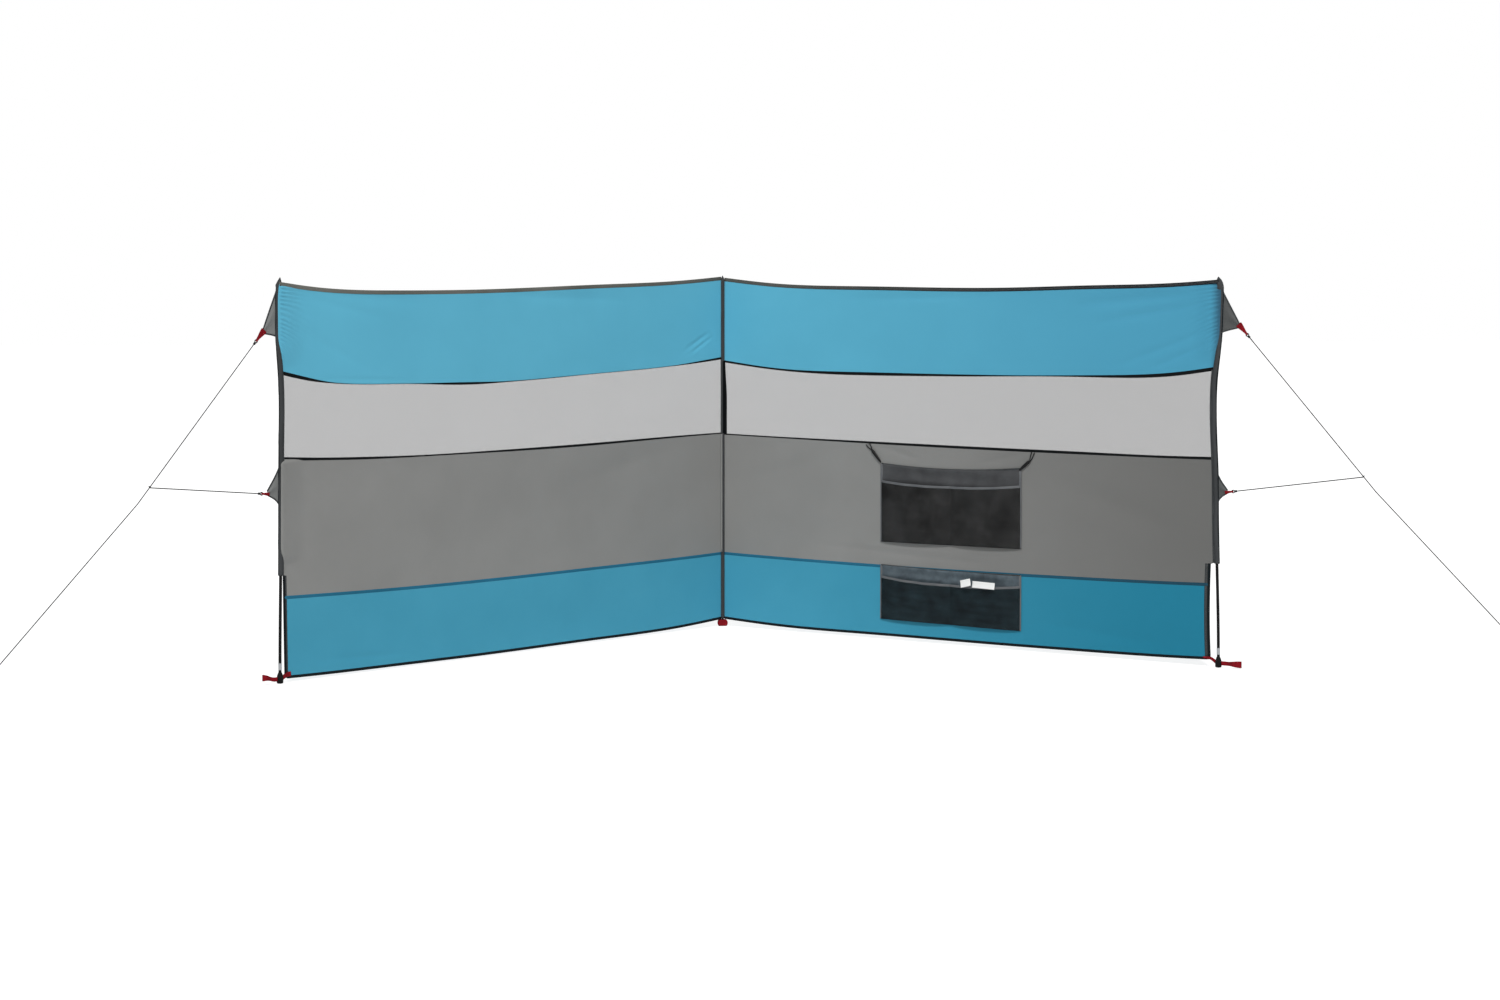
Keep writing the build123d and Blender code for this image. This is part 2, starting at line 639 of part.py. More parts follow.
def placed(piece, side):
    """A wing piece swung into place, and mirrored for the left wing."""
    swung = Rot(0, 0, SWING) * piece
    return mirror(swung, about=Plane.YZ) if side == "left" else swung


def build():
    """Every piece of the windbreak by node name."""
    parts = middle_pole()
    for side, clearance in (("left", CLEAR), ("right", SWING_CLEAR)):
        wing = wing_cloth(SLEEVE_RADIUS + clearance) | wing_rigging() | end_pole()
        for name, piece in wing.items():
            parts[f"{name}_{side}"] = placed(piece, side)
    for name, piece in pocket_set().items():
        parts[name] = placed(piece, "right")
    return parts


os.makedirs("parts", exist_ok=True)
for node, shape in build().items():
    export_step(shape, f"parts/{node}.step")
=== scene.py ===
"""Looks of a beach windbreak: two cloth wings on three poles, with sleeves, guy flaps, cords and pockets.

Lengths are in metres, +Z is up and the origin is on the ground under the middle pole. A wing's own
coordinates are s along the wing from the middle pole, y away from the sheltered side and z up.
"""

from __future__ import annotations

import logging
import math
from dataclasses import dataclass, field
from enum import Enum

import bpy
import numpy as np
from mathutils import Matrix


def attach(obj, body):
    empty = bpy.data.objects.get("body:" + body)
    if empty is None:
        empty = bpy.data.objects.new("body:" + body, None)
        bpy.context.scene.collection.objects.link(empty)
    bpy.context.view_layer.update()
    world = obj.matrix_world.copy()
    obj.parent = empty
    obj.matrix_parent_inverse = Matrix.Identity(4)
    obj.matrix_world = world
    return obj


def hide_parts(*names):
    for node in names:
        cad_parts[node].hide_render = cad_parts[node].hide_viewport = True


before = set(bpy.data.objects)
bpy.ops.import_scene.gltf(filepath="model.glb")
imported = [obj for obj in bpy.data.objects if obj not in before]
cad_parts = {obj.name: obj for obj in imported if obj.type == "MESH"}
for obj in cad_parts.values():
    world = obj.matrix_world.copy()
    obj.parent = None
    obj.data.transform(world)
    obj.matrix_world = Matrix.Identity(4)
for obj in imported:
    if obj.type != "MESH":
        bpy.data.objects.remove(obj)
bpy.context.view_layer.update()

LOG = logging.getLogger("windbreak")
MM = 0.001


class Side(Enum):
    """The two wings, as seen from the sheltered side."""

    LEFT = "left"
    RIGHT = "right"

    @property
    def body(self) -> str:
        """The body that this wing's pieces ride on."""
        return f"{self.value}_wing"

    @property
    def hand(self) -> float:
        """The sign of this wing's X."""
        return -1.0 if self is Side.LEFT else 1.0


def smooth(x: np.ndarray) -> np.ndarray:
    """A step from 0 to 1 with level ends: 3x squared less 2x cubed, x held between 0 and 1."""
    x = np.clip(x, 0.0, 1.0)
    return x * x * (3.0 - 2.0 * x)


def unit(vectors: np.ndarray) -> np.ndarray:
    """Vectors brought to length 1."""
    return vectors / np.linalg.norm(vectors, axis=-1, keepdims=True)


def travelled(path: np.ndarray) -> np.ndarray:
    """The distance from a path's start to each of its points, along its straight steps."""
    return np.concatenate([[0.0], np.cumsum(np.linalg.norm(np.diff(path, axis=0), axis=1))])


def tangents(path: np.ndarray) -> np.ndarray:
    """Directions of length 1 along a path, one for each point, from its two neighbours."""
    return unit(np.gradient(path, axis=0))


def resampled(path: np.ndarray, spacing: float) -> np.ndarray:
    """Points at even distances along a path of straight steps.

    Args:
        path: Points in order, one a row.
        spacing: About how far apart the new points are.

    Returns:
        The new points, the ends of the path among them.
    """
    passed = travelled(path)
    stops = np.linspace(0.0, passed[-1], max(2, round(passed[-1] / spacing) + 1))
    return np.stack([np.interp(stops, passed, column) for column in path.T], axis=1)


@dataclass
class Patch:
    """A piece of mesh: points, faces by point number, and a place on the cloth for each point."""

    points: np.ndarray
    faces: list[list[int]]
    uv: np.ndarray

    def volume(self) -> float:
        """The volume inside a closed patch, below 0 where it is inside out.

        Each face is a fan of triangles, and each triangle with the origin is a sixth of the box of
        its three corners.
        """
        quads = np.array([f for f in self.faces if len(f) == 4])
        total = 0.0
        for a, b, c in ((0, 1, 2), (0, 2, 3)):
            corners = self.points[quads[:, a]], self.points[quads[:, b]], self.points[quads[:, c]]
            total += np.einsum("ij,ij->", corners[0], np.cross(corners[1], corners[2])) / 6.0
        return total

    def outward(self) -> Patch:
        """The same closed patch with its faces pointing outwards."""
        if self.volume() < 0.0:
            self.faces = [face[::-1] for face in self.faces]
        return self


def joined(patches: list[Patch]) -> Patch:
    """Several patches as one, each point numbered after those of the patches before it."""
    faces: list[list[int]] = []
    start = 0
    for patch in patches:
        faces.extend([[start + i for i in face] for face in patch.faces])
        start += len(patch.points)
    return Patch(
        np.concatenate([patch.points for patch in patches]),
        faces,
        np.concatenate([patch.uv for patch in patches]),
    )


def grid_faces(rows: int, cols: int, round_cols: bool = False, round_rows: bool = False) -> list[list[int]]:
    """Four-cornered faces of a grid of points, numbered row by row.

    Args:
        rows: Points along the first direction.
        cols: Points along the second direction.
        round_cols: Whether each row closes on itself.
        round_rows: Whether the last row meets the first.

    Returns:
        The faces, each with its corners in order.
    """
    row = np.arange(rows if round_rows else rows - 1)[:, None]
    col = np.arange(cols if round_cols else cols - 1)[None, :]
    next_row = (row + 1) % rows
    next_col = (col + 1) % cols
    corners = [row * cols + col, row * cols + next_col, next_row * cols + next_col, next_row * cols + col]
    return np.stack(corners, axis=-1).reshape(-1, 4).tolist()


def sheet_patch(points: np.ndarray, uv: np.ndarray) -> Patch:
    """An open surface from a grid of points of shape (rows, cols, 3) and their places on the cloth."""
    rows, cols = points.shape[:2]
    return Patch(points.reshape(-1, 3), grid_faces(rows, cols), uv.reshape(-1, 2))


def swept(
    path: np.ndarray,
    across: np.ndarray,
    normal: np.ndarray,
    profile: np.ndarray,
    closed: bool = False,
) -> Patch:
    """A closed profile carried along a path: each point is path + a * across + b * normal.

    Args:
        path: The path's points, shape (n, 3).
        across: The direction of the profile's first coordinate at each point.
        normal: The direction of its second coordinate.
        profile: The profile's points (a, b), shape (m, 2), or (n, m, 2) where it changes on the way.
        closed: Whether the path runs back into its start. Otherwise a face closes each end.

    Returns:
        The patch, with distance along the path and a as its places on the cloth.
    """
    count = len(path)
    outline = np.broadcast_to(profile, (count, *profile.shape[-2:]))
    points = path[:, None] + outline[..., :1] * across[:, None] + outline[..., 1:] * normal[:, None]
    passed = np.broadcast_to(travelled(path)[:, None], outline.shape[:2])
    uv = np.stack([passed, outline[..., 0]], axis=-1)
    sides = outline.shape[1]
    faces = grid_faces(count, sides, round_cols=True, round_rows=closed)
    if not closed:
        faces.append(list(range(sides))[::-1])
        faces.append([(count - 1) * sides + i for i in range(sides)])
    return Patch(points.reshape(-1, 3), faces, uv.reshape(-1, 2)).outward()


def carried(path: np.ndarray, across: np.ndarray, profile: np.ndarray) -> Patch:
    """A closed profile carried along a path, its first coordinate in the same direction all the way.

    Args:
        path: The path's points, shape (n, 3).
        across: The one direction of the profile's first coordinate, square to the path.
        profile: The profile's points, as swept takes them.

    Returns:
        The patch.
    """
    across = np.broadcast_to(across, path.shape)
    return swept(path, across, unit(np.cross(tangents(path), across)), profile)


def filled(wave: np.ndarray, power: float) -> np.ndarray:
    """A wave raised to a power with its sign kept."""
    return np.sign(wave) * np.abs(wave) ** power


def slab_profile(width: float, thickness: float, sides: int = 14) -> np.ndarray:
    """The section of a folded tape: a long oval with full sides and rounded ends.

    Formula: width / 2 times the cosine and thickness / 2 times the sine of the turn, each raised to
    a power below 1 with its sign kept, which fills the corners.
    """
    turn = np.linspace(0.0, 2.0 * math.pi, sides, endpoint=False) + math.pi / sides
    across = width / 2 * filled(np.cos(turn), 0.45)
    through = thickness / 2 * filled(np.sin(turn), 0.6)
    return np.stack([across, through], axis=1)


def tape_profiles(widths: np.ndarray, thickness: float, sides: int = 14) -> np.ndarray:
    """A folded tape's section at each point of its way, for a width that changes."""
    profile = slab_profile(1.0, thickness, sides)[None].repeat(len(widths), axis=0)
    profile[..., 0] *= widths[:, None]
    return profile


def round_profile(radius: float, sides: int = 10) -> np.ndarray:
    """The section of a cord: points evenly round a circle."""
    turn = np.linspace(0.0, 2.0 * math.pi, sides, endpoint=False)
    return radius * np.stack([np.cos(turn), np.sin(turn)], axis=1)


def piece(name: str, patch: Patch, finish: bpy.types.Material, thickness: float = 0.0) -> bpy.types.Object:
    """Makes a patch an object with smooth shading, its places on the cloth as UV map and its finish.

    Args:
        name: The object's name.
        patch: The mesh, in the frame's own place.
        finish: The material.
        thickness: Where above 0, the cloth's thickness, half of it on each side.

    Returns:
        The new object, in the scene.
    """
    mesh = bpy.data.meshes.new(name)
    mesh.from_pydata(patch.points.tolist(), [], patch.faces)
    corners = np.empty(len(mesh.loops), dtype=np.int32)
    mesh.loops.foreach_get("vertex_index", corners)
    mesh.uv_layers.new(name="cloth").data.foreach_set("uv", patch.uv[corners].astype(np.float32).ravel())
    mesh.polygons.foreach_set("use_smooth", np.ones(len(mesh.polygons), dtype=bool))
    mesh.materials.append(finish)
    made = bpy.data.objects.new(name, mesh)
    bpy.context.scene.collection.objects.link(made)
    if thickness > 0.0:
        wall = made.modifiers.new("cloth thickness", "SOLIDIFY")
        wall.thickness = thickness
        wall.offset = 0.0
    LOG.info("%s: %d points", name, len(patch.points))
    return made


def declare(made: bpy.types.Object, body: str, node: str = "") -> None:
    """Puts a piece on its body and hides the node that it stands for, if it has one.

    Args:
        made: The piece.
        body: The body that it rides on.
        node: The node that it stands for, or nothing.
    """
    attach(made, body)
    if node:
        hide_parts(node)


# Finishes


def colour(hex_value: str) -> tuple[float, float, float, float]:
    """A linear colour with full opacity from an sRGB hex value such as #5aaac5."""
    channels = [int(hex_value[i : i + 2], 16) / 255.0 for i in (1, 3, 5)]
    linear = [c / 12.92 if c <= 0.04045 else ((c + 0.055) / 1.055) ** 2.4 for c in channels]
    return (*linear, 1.0)


def add_node(
    tree: bpy.types.NodeTree, kind: str, inputs: dict | None = None, **settings: object
) -> bpy.types.Node:
    """Adds a node with its settings, its constants and its links.

    Args:
        tree: The node tree.
        kind: The node's type name.
        inputs: What each input gets, by name or number: another node's output or a constant.
        settings: The node's own properties.

    Returns:
        The node.
    """
    made = tree.nodes.new(kind)
    for key, value in settings.items():
        setattr(made, key, value)
    for key, value in (inputs or {}).items():
        if isinstance(value, bpy.types.NodeSocket):
            tree.links.new(value, made.inputs[key])
        else:
            made.inputs[key].default_value = value
    return made


@dataclass(frozen=True)
class Finish:
    """What every finish has: a name, two shades that mix over the surface, and its gloss.

    Two more shades may be blended in along X, each left out where it is empty, and both are
    painted shade: one darkens the cloth towards the right wing's outer end, where less light falls,
    and the other darkens it where it turns away from the light round the right sleeve.
    """

    name: str
    light: str
    dark: str
    roughness: float = 0.7
    sheen: float = 0.0
    metallic: float = 0.0
    patch_size: float = 0.25
    # Painted shade: the cloth darkens towards the right wing's outer end, where less light falls.
    painted_far_shade: str = ""
    painted_far_shade_range: tuple[float, float] = (0.3, 1.9)
    # Painted shade where the cloth turns away from the light round the right sleeve.
    edge: str = ""
    painted_sleeve_shade_range: tuple[float, float] = (0.0, 1.0)
    gloss: float = 0.5

    def material(self) -> bpy.types.Material:
        """Builds the material: the base of every finish, then this finish's own surface."""
        made = bpy.data.materials.new(self.name)
        made.use_nodes = True
        tree = made.node_tree
        tree.nodes.clear()
        place = add_node(tree, "ShaderNodeTexCoord")
        blotch = add_node(
            tree,
            "ShaderNodeTexNoise",
            {"Vector": place.outputs["Object"], "Scale": 1.0 / self.patch_size, "Detail": 4.0},
        )
        spread = add_node(
            tree, "ShaderNodeMapRange", {"Value": blotch.outputs[0], "From Min": 0.3, "From Max": 0.7}
        )
        shade = add_node(
            tree,
            "ShaderNodeMix",
            {0: spread.outputs[0], 6: colour(self.dark), 7: colour(self.light)},
            data_type="RGBA",
        )
        shown = shade.outputs[2]
        # Blends in the painted shade towards the right wing's outer end and round the right sleeve.
        for goal, limits in ((self.painted_far_shade, self.painted_far_shade_range), (self.edge, self.painted_sleeve_shade_range)):
            if goal:
                shown = self.faded(tree, place, shown, goal, limits)
        shader = add_node(
            tree,
            "ShaderNodeBsdfPrincipled",
            {
                "Base Color": shown,
                "Roughness": self.roughness,
                "Metallic": self.metallic,
                "Sheen Weight": self.sheen,
                "Specular IOR Level": self.gloss,
                "Sheen Roughness": 0.4,
            },
        )
        add_node(tree, "ShaderNodeOutputMaterial", {"Surface": shader.outputs[0]})
        self.surface(tree, place, shader)
        return made

    def faded(
        self,
        tree: bpy.types.NodeTree,
        place: bpy.types.Node,
        near: bpy.types.NodeSocket,
        goal: str,
        limits: tuple[float, float],
    ) -> bpy.types.NodeSocket:
        """Blends a shade into another along X between two limits, by a step with level ends."""
        axes = add_node(tree, "ShaderNodeSeparateXYZ", {0: place.outputs["Object"]})
        share = add_node(
            tree,
            "ShaderNodeMapRange",
            {"Value": axes.outputs[0], "From Min": limits[0], "From Max": limits[1]},
            interpolation_type="SMOOTHSTEP",
        )
        blend = add_node(
            tree, "ShaderNodeMix", {0: share.outputs[0], 6: near, 7: colour(goal)}, data_type="RGBA"
        )
        return blend.outputs[2]

    def surface(self, tree: bpy.types.NodeTree, place: bpy.types.Node, shader: bpy.types.Node) -> None:
        """Adds what only this finish has. The plain finish adds nothing."""

    def crossing(
        self, tree: bpy.types.NodeTree, place: bpy.types.Node, spacing: float
    ) -> bpy.types.NodeSocket:
        """The product of two sine waves at a spacing, one along the cloth and one up it."""
        waves = [
            add_node(
                tree,
                "ShaderNodeTexWave",
                {"Vector": place.outputs["UV"], "Scale": math.pi / (10.0 * spacing)},
                bands_direction=axis,
            ).outputs[1]
            for axis in ("X", "Y")
        ]
        product = add_node(tree, "ShaderNodeMath", {0: waves[0], 1: waves[1]}, operation="MULTIPLY")
        return product.outputs[0]

    def bump(
        self, tree: bpy.types.NodeTree, shader: bpy.types.Node, height: bpy.types.NodeSocket, depth: float
    ) -> None:
        """Raises the surface by a height from 0 to 1 times depth, in metres."""
        relief = add_node(tree, "ShaderNodeBump", {"Height": height, "Distance": depth, "Strength": 1.0})
        tree.links.new(relief.outputs[0], shader.inputs["Normal"])


@dataclass(frozen=True)
class WovenCloth(Finish):
    """Coated polyester, plain woven. Fine crossing threads under a thin coat give a soft, even sheen.

    The real threads are 0.25 mm apart, too fine to show, so they are drawn eight times as far apart.
    """

    thread: float = 2.0 * MM
    depth: float = 0.10 * MM

    def surface(self, tree: bpy.types.NodeTree, place: bpy.types.Node, shader: bpy.types.Node) -> None:
        """Threads that stand out where they cross."""
        self.bump(tree, shader, self.crossing(tree, place, self.thread), self.depth)


@dataclass(frozen=True)
class WindowFilm(Finish):
    """Frosted vinyl sheet, calendered. It lets part of what is behind it through and has a dull gloss.

    Each of its two faces hides 45 % of what is behind, and both together 70 %.
    """

    opacity: float = 0.45

    def surface(self, tree: bpy.types.NodeTree, place: bpy.types.Node, shader: bpy.types.Node) -> None:
        """A faint orange peel from the rollers, and the film's opacity."""
        shader.inputs["Alpha"].default_value = self.opacity
        peel = add_node(
            tree, "ShaderNodeTexNoise", {"Vector": place.outputs["Object"], "Scale": 60.0, "Detail": 2.0}
        )
        self.bump(tree, shader, peel.outputs[0], 0.2 * MM)


@dataclass(frozen=True)
class SewnTape(Finish):
    """Polyester tape, woven with cross ribs and sewn down along its edges with a running stitch.

    The real ribs are 0.8 mm apart and are drawn twice as coarse, so that they show.
    """

    rib: float = 1.6 * MM
    stitch: float = 4.0 * MM
    stitch_line: float = 2.0 * MM
    thread_colour: str = "#6c6e70"

    def surface(self, tree: bpy.types.NodeTree, place: bpy.types.Node, shader: bpy.types.Node) -> None:
        """Ribs across the tape, and a dashed line of thread at one distance from its middle."""
        ribs = add_node(
            tree,
            "ShaderNodeTexWave",
            {"Vector": place.outputs["UV"], "Scale": math.pi / (10.0 * self.rib)},
            bands_direction="X",
        )
        axes = add_node(tree, "ShaderNodeSeparateXYZ", {0: place.outputs["UV"]})
        off = add_node(tree, "ShaderNodeMath", {0: axes.outputs[1]}, operation="ABSOLUTE")
        near = add_node(
            tree,
            "ShaderNodeMath",
            {0: off.outputs[0], 1: self.stitch_line, 2: 0.35 * MM},
            operation="COMPARE",
        )
        step = add_node(
            tree, "ShaderNodeMath", {0: axes.outputs[0], 1: 1.0 / self.stitch}, operation="MULTIPLY"
        )
        dash = add_node(tree, "ShaderNodeMath", {0: step.outputs[0]}, operation="FRACT")
        on = add_node(tree, "ShaderNodeMath", {0: dash.outputs[0], 1: 0.7}, operation="LESS_THAN")
        thread = add_node(
            tree, "ShaderNodeMath", {0: near.outputs[0], 1: on.outputs[0]}, operation="MULTIPLY"
        )
        shade = shader.inputs["Base Color"].links[0].from_socket
        sewn = add_node(
            tree,
            "ShaderNodeMix",
            {0: thread.outputs[0], 6: shade, 7: colour(self.thread_colour)},
            data_type="RGBA",
        )
        tree.links.new(sewn.outputs[2], shader.inputs["Base Color"])
        raised = add_node(tree, "ShaderNodeMath", {0: ribs.outputs[1], 1: thread.outputs[0]}, operation="ADD")
        self.bump(tree, shader, raised.outputs[0], 0.15 * MM)


@dataclass(frozen=True)
class Webbing(Finish):
    """Polypropylene webbing, woven in a herringbone whose ribs lean one way, then the other."""

    rib: float = 2.2 * MM
    chevron: float = 5.0 * MM

    def surface(self, tree: bpy.types.NodeTree, place: bpy.types.Node, shader: bpy.types.Node) -> None:
        """A sine of the distance along plus the distance folded back and forth across."""
        axes = add_node(tree, "ShaderNodeSeparateXYZ", {0: place.outputs["UV"]})
        fold = add_node(
            tree, "ShaderNodeMath", {0: axes.outputs[1], 1: self.chevron}, operation="PINGPONG"
        )
        lean = add_node(tree, "ShaderNodeMath", {0: axes.outputs[0], 1: fold.outputs[0]}, operation="ADD")
        turn = add_node(
            tree, "ShaderNodeMath", {0: lean.outputs[0], 1: 2.0 * math.pi / self.rib}, operation="MULTIPLY"
        )
        wave = add_node(tree, "ShaderNodeMath", {0: turn.outputs[0]}, operation="SINE")
        rise = add_node(
            tree, "ShaderNodeMapRange", {"Value": wave.outputs[0], "From Min": -1.0, "From Max": 1.0}
        )
        self.bump(tree, shader, rise.outputs[0], 0.35 * MM)


@dataclass(frozen=True)
class NetMesh(Finish):
    """Knitted polyester net. Its holes let a little of what is behind it through.

    The real holes are 1 mm apart and are drawn three times as far apart, so that they show.
    """

    hole: float = 3.0 * MM
    hole_opacity: float = 0.55

    def surface(self, tree: bpy.types.NodeTree, place: bpy.types.Node, shader: bpy.types.Node) -> None:
        """Holes in rows: crossing waves, cut at a level and drawn through."""
        opening = add_node(
            tree,
            "ShaderNodeMapRange",
            {
                "Value": self.crossing(tree, place, self.hole),
                "From Min": 0.3,
                "From Max": 0.5,
                "To Min": 1.0,
                "To Max": self.hole_opacity,
            },
        )
        tree.links.new(opening.outputs[0], shader.inputs["Alpha"])
        self.bump(tree, shader, opening.outputs[0], 0.4 * MM)


@dataclass(frozen=True)
class Grained(Finish):
    """A hard surface with a fine grain drawn out by a share along Z, as on pulled rod or moulded rubber."""

    grain: float = 1.5 * MM
    stretch: float = 1.0
    depth: float = 0.1 * MM

    def surface(self, tree: bpy.types.NodeTree, place: bpy.types.Node, shader: bpy.types.Node) -> None:
        """Noise at the grain's size, longer along Z."""
        drawn = add_node(
            tree,
            "ShaderNodeMapping",
            {"Vector": place.outputs["Object"], "Scale": (1.0, 1.0, 1.0 / self.stretch)},
        )
        grain = add_node(
            tree, "ShaderNodeTexNoise", {"Vector": drawn.outputs[0], "Scale": 1.0 / self.grain, "Detail": 3.0}
        )
        rough = add_node(
            tree,
            "ShaderNodeMapRange",
            {
                "Value": grain.outputs[0],
                "From Min": 0.3,
                "From Max": 0.7,
                "To Min": self.roughness - 0.12,
                "To Max": self.roughness + 0.12,
            },
        )
        tree.links.new(rough.outputs[0], shader.inputs["Roughness"])
        self.bump(tree, shader, grain.outputs[0], self.depth)


# The extra shades given to several finishes below are painted shade towards the right wing's outer end; the
# blue cloth's second one is painted shade round the right sleeve.
BLUE_CLOTH = WovenCloth(
    "coated polyester, sea blue, plain woven", "#54abc7", "#50a6c2", sheen=0.15, painted_far_shade="#3c91b0",
    painted_far_shade_range=(-0.1, 1.9), edge="#174a62", painted_sleeve_shade_range=(1.746, 1.784),
)
SKIRT_CLOTH = WovenCloth(
    "coated polyester, deep blue, plain woven", "#4094af", "#3b8faa", sheen=0.10, painted_far_shade="#12748f",
    painted_far_shade_range=(-0.1, 1.8), gloss=0.25,
)
GREY_CLOTH = WovenCloth(
    "coated polyester, stone grey, plain woven", "#81817f", "#7c7c7a", sheen=0.15, painted_far_shade="#5f5f5d"
)
SLEEVE_CLOTH = WovenCloth("uncoated polyester, charcoal, plain woven", "#3d3f41", "#323435", gloss=0.15)
MIDDLE_SLEEVE_CLOTH = WovenCloth(
    "uncoated polyester, slate grey, plain woven", "#3c3e3f", "#303233", gloss=0.15
)
FLAP_CLOTH = WovenCloth(
    "coated polyester, slate grey, plain woven", "#767877", "#696b6a", sheen=0.2, painted_far_shade="#434545"
)
FILM = WindowFilm(
    "frosted vinyl film, calendered", "#8b8b8b", "#868686", roughness=0.55, painted_far_shade="#777777",
    painted_far_shade_range=(-0.2, 1.6),
)
EDGE_TAPE = SewnTape(
    "polyester tape, grey, ribbed and sewn", "#6c6c66", "#54564f", painted_far_shade="#0a1013",
    painted_far_shade_range=(-1.2, 1.5), gloss=0.2,
)
SEAM_TAPE = SewnTape(
    "polyester tape, black, ribbed and sewn", "#06090b", "#030506", thread_colour="#0c1012", gloss=0.1
)
BINDING_TAPE = SewnTape(
    "polyester tape, ink blue, ribbed and sewn", "#0d1519", "#080d10", thread_colour="#141c20", gloss=0.1
)
# The skirt seam's tape is real, but its blue is drawn darker than the skirt as painted shade of the fold
# along the seam.
SKIRT_SEAM = SewnTape(
    "polyester tape, dark blue, ribbed and sewn", "#246a87", "#1f6079", painted_far_shade="#1a3d4d",
    painted_far_shade_range=(0.2, 1.8), thread_colour="#1c5870", gloss=0.15,
)
HEM_TAPE = SewnTape("polyester tape, charcoal, ribbed and sewn", "#323536", "#272a2b", gloss=0.15)
RED_WEBBING = Webbing(
    "polypropylene webbing, red, herringbone", "#8e121e", "#6f0a14", patch_size=0.03, gloss=0.1
)
UPPER_NET = NetMesh("knitted net, black", "#2f2f2f", "#191919", patch_size=0.09, gloss=0.15)
LOWER_NET = NetMesh("knitted net, blue black", "#1d2b30", "#0e171b", patch_size=0.06, gloss=0.15)
POCKET_STRIP = WovenCloth("uncoated polyester, lead grey, plain woven", "#3b3c3e", "#2d2e30", patch_size=0.05)
LOWER_STRIP = WovenCloth("uncoated polyester, blue grey, plain woven", "#4f5b62", "#323c43", patch_size=0.04)
POCKET_EDGE = SewnTape("polyester tape, dull grey, ribbed and sewn", "#5a5c5e", "#4a4c4f", patch_size=0.05)
TAG_CLOTH = WovenCloth("satin label cloth, white, blank", "#e8e8e6", "#dededc", sheen=0.3)
CORD = WovenCloth("polyester guy cord, graphite, braided", "#141618", "#0c0d0e", patch_size=0.02, gloss=0.15)
ROD = Grained(
    "fibreglass rod, black, pulled", "#050506", "#020202", roughness=0.6, gloss=0.15, stretch=30.0,
    depth=0.01 * MM,
)
FERRULE = Grained("steel ferrule, zinc plated", "#b4b6b8", "#9a9c9f", roughness=0.32, metallic=1.0)
CAP = Grained("moulded rubber cap, black", "#080808", "#040404", roughness=0.7, gloss=0.15)
PEG = Grained("steel peg, zinc plated", "#aeb0b2", "#929497", roughness=0.35, metallic=1.0, grain=3.0 * MM)
CLIP = Grained("moulded nylon clip, black", "#0a0b0b", "#050505", roughness=0.45, gloss=0.2)


# The shape of a wing


@dataclass(frozen=True)
class SaggingLine:
    """A seam or edge that sags between a wing's poles: its height at each station."""

    heights: tuple[float, ...]
    stations: tuple[float, ...] = (0.0, 0.25, 0.70, 1.31, 1.70, 2.06, 2.24)

    def at(self, s: np.ndarray) -> np.ndarray:
        """Heights at distances s from the middle pole.

        A natural cubic spline: cubics between stations that agree in slope and in bend, with no
        bend at the ends. The bends come from one set of linear equations.
        """
        x = np.array(self.stations)
        h = np.array(self.heights)
        gap = np.diff(x)
        inner = np.arange(1, len(x) - 1)
        system = np.eye(len(x))
        system[inner, inner - 1] = gap[:-1]
        system[inner, inner] = 2.0 * (gap[:-1] + gap[1:])
        system[inner, inner + 1] = gap[1:]
        slope = np.diff(h) / gap
        known = np.zeros(len(x))
        known[1:-1] = 6.0 * np.diff(slope)
        bend = np.linalg.solve(system, known)
        i = np.clip(np.searchsorted(x, s) - 1, 0, len(gap) - 1)
        left = (x[i + 1] - s) / gap[i]
        right = 1.0 - left
        curve = (left**3 - left) * bend[i] + (right**3 - right) * bend[i + 1]
        return left * h[i] + right * h[i + 1] + curve * gap[i] ** 2 / 6.0


@dataclass(frozen=True)
class Crease:
    """A soft ridge in taut cloth from one place (s, z) of a wing to another."""

    start: tuple[float, float]
    end: tuple[float, float]
    width: float
    height: float

    def lift(self, s: np.ndarray, z: np.ndarray) -> np.ndarray:
        """The ridge: a bell curve across it, times 4t(1 - t) along it, t from 0 to 1."""
        along = np.subtract(self.end, self.start)
        length = math.hypot(*along)
        ds = s - self.start[0]
        dz = z - self.start[1]
        t = np.clip((ds * along[0] + dz * along[1]) / length**2, 0.0, 1.0)
        off = (ds * along[1] - dz * along[0]) / length
        return self.height * np.exp(-((off / self.width) ** 2)) * 4.0 * t * (1.0 - t)


